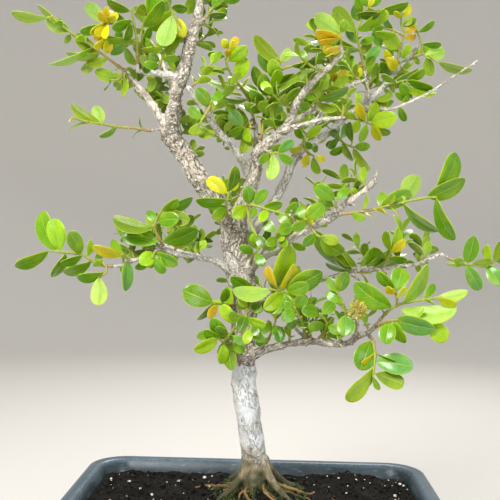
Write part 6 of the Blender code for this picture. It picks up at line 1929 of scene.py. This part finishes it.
def add_tuft(shapes, place, tall, tone, chance):
    """A moss stem's star of narrow leaves."""
    blades = 6
    turn = chance.uniform(0, FULL_TURN)
    lean = Vector((chance.uniform(-0.3, 0.3), chance.uniform(-0.3, 0.3), 1)).normalized()
    under = Vector((0, 0, -0.16))
    faces = [(0, 2, 3, 1), (2, 4, 3), (0, 5, 6, 2), (1, 3, 6, 5), (2, 6, 4), (3, 4, 6), (0, 1, 5)]
    for k in range(blades):
        angle = turn + k * TUFT_TURN
        out = Vector((math.cos(angle), math.sin(angle), 0))
        start = place + lean * (tall * k / blades * 0.7)
        side = out.cross(UP) * 0.22
        middle = start + out * tall * 0.3 + Vector((0, 0, tall * 0.25))
        tip = start + out * tall * 0.55 + Vector((0, 0, tall * 0.5))
        points = [
            start + side, start - side, middle + side * 0.9, middle - side * 0.9, tip,
            start + under, middle + under,
        ]
        shapes.add([tuple(point) for point in points], faces, np.array(tone) * (0.7 + 0.6 * k / blades))


def dress_flower(look):
    """The dry bloom: a rough core with many blunt spikes in yellow and beige."""
    chance = random.Random("flower")
    base, top = seen(*FLOWER_BASE), seen(*FLOWER_TOP)
    axis = (top - base).normalized()
    centre = base.lerp(top, 0.62)
    shapes = Shapes()
    route = [tuple(base + (centre - base) * share) for share in (-0.1, 0.3, 0.7, 1.0)]
    add_tube(shapes, route, [1.0, 0.95, 1.0, 1.3], 10, linear(GREEN_TWIG))
    points, faces = stone_shape(BLOOM_CORE, chance, 3)
    shapes.add([tuple(point + centre) for point in points], faces, linear(BLOOM_CORE_COLOR))
    for k in range(SPIKE_COUNT):
        height = 1 - 2 * (k + 0.5) / SPIKE_COUNT
        angle = k * GOLDEN_TURN
        level = math.sqrt(1 - height ** 2)
        way = Vector((level * math.cos(angle), level * math.sin(angle), height))
        if way.dot(axis) < -0.8:
            continue
        way = (way + Vector([chance.uniform(-0.2, 0.2) for _ in range(3)])).normalized()
        reach = chance.uniform(4.6, 6.4)
        spike = [tuple(centre + way * reach * share) for share in (0.4, 0.7, 0.92, 1.0)]
        tone = np.array(linear(chance.choice(FLOWER_COLORS))) * chance.uniform(0.8, 1.25)
        add_tube(shapes, spike, [0.5, 0.36, 0.42, 0.3], 6, tone)
    shapes.piece("dry_bloom", [look], "flower", ["flower_head"])


class Look:
    """A node material in the making: a Principled shader and short calls for the nodes in front of it."""

    def __init__(self, name, **values):
        self.material = bpy.data.materials.new(name)
        self.material.use_nodes = True
        self.tree = self.material.node_tree
        self.shader = self.tree.nodes["Principled BSDF"]
        for socket, value in values.items():
            self.shader.inputs[socket.replace("_", " ")].default_value = value

    def node(self, kind, **settings):
        """A new node of this kind with these settings."""
        made = self.tree.nodes.new(kind)
        for name, value in settings.items():
            setattr(made, name, value)
        return made

    def link(self, source, target):
        """Joins an output to an input."""
        self.tree.links.new(source, target)

    def feed(self, socket, value):
        """Gives an input an output or a constant."""
        if hasattr(value, "is_output"):
            self.link(value, socket)
        else:
            socket.default_value = value

    def attribute(self, name):
        """The node that reads one of the piece's attributes."""
        return self.node("ShaderNodeAttribute", attribute_name=name)

    def tint(self):
        """The piece's own colour."""
        return self.attribute("tint").outputs["Color"]

    def marks(self):
        """The piece's three marks as separate numbers."""
        split = self.node("ShaderNodeSeparateXYZ")
        self.link(self.attribute("mark").outputs["Vector"], split.inputs[0])
        return split.outputs

    def math(self, operation, first, second=0.0):
        """One sum of two numbers."""
        made = self.node("ShaderNodeMath", operation=operation)
        self.feed(made.inputs[0], first)
        self.feed(made.inputs[1], second)
        return made.outputs[0]

    def times(self, first, second):
        """The product of two numbers."""
        return self.math("MULTIPLY", first, second)

    def range(self, value, low, high, to_low=0.0, to_high=1.0):
        """The value carried smoothly from one range to another."""
        made = self.node("ShaderNodeMapRange", interpolation_type="SMOOTHSTEP")
        for socket, number in zip(made.inputs, (value, low, high, to_low, to_high)):
            self.feed(socket, number)
        return made.outputs[0]

    def noise(self, scale, detail=3.0, roughness=0.55, vector=None):
        """A noise at the piece's own places, or at another vector's."""
        made = self.node("ShaderNodeTexNoise")
        made.inputs["Scale"].default_value = scale
        made.inputs["Detail"].default_value = detail
        made.inputs["Roughness"].default_value = roughness
        self.link(vector or self.place(), made.inputs["Vector"])
        return made.outputs["Fac"]

    def voronoi(self, vector, scale, feature="F1"):
        """The outputs of a pattern of cells."""
        made = self.node("ShaderNodeTexVoronoi", feature=feature)
        made.inputs["Scale"].default_value = scale
        self.link(vector, made.inputs["Vector"])
        return made.outputs

    def warped(self, vector, scale, reach):
        """A vector moved about by a noise of its own."""
        noisy = self.node("ShaderNodeTexNoise")
        noisy.inputs["Scale"].default_value = scale
        self.link(vector, noisy.inputs["Vector"])
        moved = self.node("ShaderNodeVectorMath", operation="MULTIPLY_ADD")
        self.link(noisy.outputs["Color"], moved.inputs[0])
        moved.inputs[1].default_value = (reach, reach, reach)
        self.link(vector, moved.inputs[2])
        return moved.outputs[0]

    def place(self):
        """The place on the piece, in metres."""
        return self.node("ShaderNodeTexCoord").outputs["Object"]

    def stretched(self, scale):
        """The place on the piece with each axis scaled."""
        made = self.node("ShaderNodeMapping")
        made.inputs["Scale"].default_value = scale
        self.link(self.place(), made.inputs["Vector"])
        return made.outputs[0]

    def blend(self, share, first, second, kind="MIX"):
        """Two colours blended by a share."""
        made = self.node("ShaderNodeMix", data_type="RGBA", blend_type=kind)
        for socket, value in ((made.inputs[0], share), (made.inputs[6], first), (made.inputs[7], second)):
            self.feed(socket, value)
        return made.outputs[2]

    def toward(self, shade, share, color):
        """A colour carried by a share towards another, given as 0 to 255."""
        return self.blend(share, shade, rgba(color))

    def darker(self, shade, share, factors):
        """A colour multiplied, by a share, with factors for red, green and blue."""
        return self.blend(share, shade, (*factors, 1.0), "MULTIPLY")

    def bump(self, height, strength, distance):
        """A relief of this height."""
        made = self.node("ShaderNodeBump")
        made.inputs["Strength"].default_value = strength
        made.inputs["Distance"].default_value = distance
        self.link(height, made.inputs["Height"])
        return made.outputs[0]

    def finish(self, color=None, roughness=None, normal=None):
        """The material, with these outputs on its shader."""
        for name, source in (("Base Color", color), ("Roughness", roughness), ("Normal", normal)):
            if source:
                self.link(source, self.shader.inputs[name])
        return self.material


def rgba(color):
    """A screen colour of 0 to 255 as a socket holds it."""
    return (*linear(color), 1.0)


def leaf_look():
    """Glossy above and matt below, with a pale midrib, painted shade either side of it, faint side veins, a
    pale margin and a fine mottle.
    """
    look = Look(
        "leaf", Subsurface_Weight=0.3, Subsurface_Scale=0.0008, Subsurface_Radius=(0.7, 1.0, 0.12), IOR=1.45,
        Coat_Roughness=0.12, Specular_IOR_Level=0.36,
    )
    along, across, face = look.marks()
    from_rib = look.math("ABSOLUTE", across)
    wobble = look.times(look.noise(260.0, 2.0), 0.05)
    rib = look.range(look.math("ADD", from_rib, wobble), 0.075, 0.035)
    margin = look.range(from_rib, 0.9, 0.985)
    sweep = look.math("SUBTRACT", look.times(along, 62.0), look.times(from_rib, 17.0))
    veins = look.range(look.math("SINE", sweep), 0.55, 1.0)
    mottle = look.noise(420.0, 4.0, 0.6)
    broad = look.noise(90.0, 2.0)
    tint = look.tint()
    shade = look.darker(tint, look.range(mottle, 0.35, 0.7, 0.0, 0.4), (0.58, 0.68, 0.4))
    shade = look.toward(shade, look.range(broad, 0.45, 0.75, 0.0, 0.3), LEAF_BLUSH_COLOR)
    # Painted shade: the blade darker towards its midrib, as in the crease of its fold, on both faces.
    shade = look.darker(shade, look.range(from_rib, 0.75, 0.05, 0.0, 0.4), (0.62, 0.78, 0.5))
    shade = look.toward(shade, look.times(veins, 0.16), RIB_COLOR)
    shade = look.toward(shade, look.times(rib, 0.55), RIB_COLOR)
    shade = look.toward(shade, look.times(margin, 0.6), MARGIN_COLOR)
    gloss = look.math("ADD", look.range(face, 0.2, 0.8, 0.5, 0.26), look.times(mottle, 0.1))
    look.link(look.range(face, 0.2, 0.8, 0.0, 0.18), look.shader.inputs["Coat Weight"])
    relief = look.math("ADD", rib, look.times(veins, 0.3))
    height = look.math("SUBTRACT", look.times(mottle, 0.25), relief)
    return look.finish(shade, gloss, look.bump(height, 0.35, 0.00012))


def twig_look():
    """Green to woody bark of young twigs, with fine lengthwise streaks and pale pores."""
    look = Look("twig", Roughness=0.6)
    tint = look.tint()
    streaks = look.noise(900.0, 3.0)
    pores = look.range(look.noise(1500.0, 2.0), 0.62, 0.72)
    shade = look.darker(tint, look.range(streaks, 0.35, 0.7, 0.0, 0.5), (0.5, 0.42, 0.34))
    shade = look.toward(shade, look.times(pores, 0.5), PORE_COLOR)
    return look.finish(shade, None, look.bump(streaks, 0.5, 0.0002))


def bark_look():
    """Pale bark: small plates between brown cracks on the old wood, few thin cracks on the smooth trunk."""
    look = Look("bark", Roughness=0.85)
    tint = look.tint()
    flaky = look.attribute("flaky").outputs["Fac"]
    spot = look.warped(look.attribute("mark").outputs["Vector"], 1.3, 0.9)
    plates = look.voronoi(spot, 0.8)["Color"]
    edge = look.range(look.voronoi(spot, 0.8, "DISTANCE_TO_EDGE")["Distance"], 0.15, 0.03)
    patchy = look.range(look.noise(0.7, 2.0, 0.5, spot), 0.4, 0.6)
    crack = look.times(look.times(edge, flaky), look.range(patchy, 0.0, 1.0, 0.35, 1.0))
    line = look.math("ABSOLUTE", look.math("SUBTRACT", look.noise(0.55, 4.0, 0.7, spot), 0.5))
    thin = look.times(look.range(line, 0.022, 0.006), look.range(look.noise(60.0, 1.0), 0.4, 0.52))
    grain = look.noise(1100.0, 5.0, 0.65, look.stretched((1.0, 1.0, 0.45)))
    flecks = look.range(look.noise(700.0, 3.0, 0.6, look.stretched((1.0, 1.0, 0.3))), 0.56, 0.7)
    patches = look.noise(120.0, 3.0)
    shade = look.darker(tint, look.range(grain, 0.4, 0.7, 0.0, 0.4), (0.7, 0.64, 0.58))
    darker = look.times(look.range(plates, 0.55, 0.9), look.times(flaky, 0.35))
    shade = look.darker(shade, darker, (0.62, 0.54, 0.46))
    paler = look.times(look.range(patches, 0.5, 0.7), look.range(flaky, 0.0, 1.0, 0.25, 0.45))
    paler = look.times(paler, look.range(tint, 0.3, 0.6))
    shade = look.toward(shade, paler, PALE_PATCH_COLOR)
    shade = look.toward(shade, look.times(flecks, 0.25), FLECK_COLOR)
    shade = look.toward(shade, look.times(crack, 0.85), DEEP_CRACK_COLOR)
    shade = look.toward(shade, look.times(thin, 0.75), THIN_CRACK_COLOR)
    raised = look.math("ADD", look.times(grain, 0.6), look.times(plates, 0.3))
    height = look.math("SUBTRACT", raised, look.math("ADD", crack, look.times(thin, 0.6)))
    return look.finish(shade, look.range(grain, 0.3, 0.7, 0.75, 0.95), look.bump(height, 0.9, 0.0006))


def pot_look():
    """Dark slate glaze, scuffed and scratched, with a patchy painted highlight along its rounded edges."""
    look = Look("pot", Specular_IOR_Level=0.35)
    rim_highlight = look.marks()[0]
    cloud = look.noise(28.0, 4.0, 0.6)
    scuffs = look.range(look.noise(160.0, 6.0, 0.7, look.stretched((1.0, 1.0, 3.0))), 0.55, 0.68)
    scratches = look.range(look.noise(300.0, 8.0, 0.8, look.stretched((0.25, 1.0, 1.0))), 0.6, 0.66)
    # A noise that makes the painted highlight along the edges patchy.
    dust_and_sheen = look.noise(600.0, 3.0)
    shade = look.blend(look.range(cloud, 0.3, 0.75), rgba(POT_COLOR), rgba(POT_CLOUD_COLOR))
    shade = look.toward(shade, look.times(scuffs, 0.5), SCUFF_COLOR)
    shade = look.toward(shade, look.times(scratches, 0.4), SCRATCH_COLOR)
    # Painted highlight: the rounded edges of the lip and foot carried towards a pale blue-grey.
    shade = look.toward(shade, look.times(rim_highlight, look.range(dust_and_sheen, 0.3, 0.7, 0.3, 0.9)), POT_RIM_HIGHLIGHT_COLOR)
    gloss = look.math("ADD", look.range(cloud, 0.3, 0.8, 0.3, 0.45), look.times(scuffs, 0.2))
    height = look.math("ADD", look.times(look.noise(220.0, 4.0), 0.6), look.times(scuffs, 0.4))
    return look.finish(shade, gloss, look.bump(height, 0.25, 0.0003))


def soil_look():
    """Near-black moist peat."""
    look = Look("peat", Specular_IOR_Level=0.08)
    tint = look.tint()
    grains = look.noise(1300.0, 5.0, 0.7)
    damp = look.noise(60.0, 2.0)
    shade = look.darker(tint, look.range(grains, 0.3, 0.7, 0.0, 0.75), (0.35, 0.32, 0.3))
    flecks = look.range(look.noise(900.0, 2.0), 0.68, 0.76)
    shade = look.toward(shade, look.times(flecks, 0.2), FIBRE_COLOR)
    return look.finish(shade, look.range(damp, 0.35, 0.7, 0.7, 0.97), look.bump(grains, 0.9, 0.0006))


def grain_look(name, roughness, rough_scale, rough_depth):
    """A plain grainy finish over the piece's own colour."""
    look = Look(name, Roughness=roughness)
    tint = look.tint()
    grain = look.noise(rough_scale, 4.0, 0.65)
    shade = look.darker(tint, look.range(grain, 0.35, 0.7, 0.0, 0.55), (0.6, 0.56, 0.48))
    return look.finish(shade, None, look.bump(grain, 0.6, rough_depth))


def screen_look():
    """Black plastic net, dull and dusty."""
    look = Look("net", Roughness=0.6)
    dust_and_sheen = look.noise(500.0, 4.0)
    shade = look.blend(look.range(dust_and_sheen, 0.4, 0.7), rgba(NET_COLOR), rgba(NET_DUST_COLOR))
    return look.finish(shade, None, look.bump(dust_and_sheen, 0.3, 0.0002))


def aim(place, target):
    """The turn that faces a target from a place."""
    return (Vector(target) - Vector(place)).to_track_quat("-Z", "Y").to_euler()


def add_light(name, place, target, size, power, color):
    """A round soft light; its place and size are in metres and its power in watts."""
    lamp = bpy.data.lights.new(name, "AREA")
    lamp.shape = "DISK"
    lamp.size = size
    lamp.energy = power
    lamp.color = color
    made = put(name, lamp)
    made.location = place
    made.rotation_euler = aim(place, target)


def make_lights():
    """Soft studio light: a key above in front, a fill from the right, and one that shines from behind."""
    world = bpy.data.worlds.new("studio")
    bpy.context.scene.world = world
    world.use_nodes = True
    sky = world.node_tree.nodes["Background"]
    sky.inputs["Color"].default_value = (0.9, 0.95, 1.0, 1.0)
    sky.inputs["Strength"].default_value = 0.33
    middle = (0.0, 0.0, 0.25)
    add_light("key", (-0.45, -0.8, 0.95), middle, 0.45, 19.0, (1.0, 0.99, 0.965))
    add_light("fill", (0.6, -1.0, 0.45), middle, 0.7, 6.0, (0.95, 0.98, 1.0))
    add_light("behind", (0.2, 0.65, 0.95), middle, 0.5, 10.0, (1.0, 0.98, 0.94))
    bpy.context.scene.view_settings.view_transform = "Standard"


def make_floor():
    """A round pale floor, in metres, that rises in one curve into a pale wall all about."""
    flat, bend, wall, around = 1.15, 0.5, 1.5, 72
    profile = [(0.3, 0.0), (flat, 0.0)]
    for k in range(1, 11):
        angle = math.pi / 2 * k / 10
        profile.append((flat + bend * math.sin(angle), bend - bend * math.cos(angle)))
    profile.append((flat + bend, wall))
    points = [
        (reach * math.cos(2 * math.pi * k / around), reach * math.sin(2 * math.pi * k / around), z)
        for reach, z in profile for k in range(around)
    ]
    faces = grid_faces(len(profile), around, closed=True, flip=True) + [tuple(range(around))]
    mesh = bpy.data.meshes.new("floor")
    mesh.from_pydata(points, [], faces)
    mesh.shade_smooth()
    look = Look("floor", Base_Color=rgba(BACKDROP_COLOR), Roughness=0.85)
    mesh.materials.append(look.material)
    put("floor", mesh)


def make_camera():
    """The camera at the eye that the sheet is laid out for."""
    lens = bpy.data.cameras.new("camera")
    lens.sensor_width = 36.0
    lens.lens = EYE_DISTANCE / STEP / SHEET_STEPS * lens.sensor_width
    lens.shift_y = (HORIZON_STEP - SHEET_STEPS / 2) / SHEET_STEPS
    lens.clip_start = 0.01
    camera = put("camera", lens)
    facing = SIGHT.to_4x4() @ Matrix.Rotation(math.pi / 2, 4, "X")
    camera.matrix_world = Matrix.Translation(EYE * MM) @ facing
    bpy.context.scene.camera = camera


def make_looks():
    """Every material but the screens' one, by name."""
    looks = {
        "leaf": leaf_look(), "twig": twig_look(), "bark": bark_look(), "pot": pot_look(),
        "soil": soil_look(),
    }
    grainy = {
        "perlite": (0.9, 900.0, 0.0003), "moss": (0.8, 1400.0, 0.0002), "bloom": (0.8, 1200.0, 0.0003),
        "scraps": (0.85, 1100.0, 0.0003),
    }
    for name, values in grainy.items():
        looks[name] = grain_look(name, *values)
    return looks


def main():
    """Sets up the stage and dresses every node of the frame."""
    looks = make_looks()
    green_looks = [looks["leaf"], looks["twig"]]
    make_camera()
    make_lights()
    make_floor()
    plan_branch_points()
    plans = plan_sprays()
    routes = wood_routes()
    wood = Wood(routes)
    room = Room(wood)
    dress_sprays(plans, room, green_looks)
    dress_branches(dict(routes), room, green_looks)
    dress_wood(plans, routes, wood, [looks["bark"]])
    dress_pot(looks["pot"])
    dress_soil(looks["soil"])
    dress_grit(looks)
    dress_moss(looks["moss"])
    dress_flower(looks["bloom"])
    net = screen_look()
    for name in ("drain_screen_left", "drain_screen_right"):
        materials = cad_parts[name].data.materials
        materials.clear()
        materials.append(net)


main()
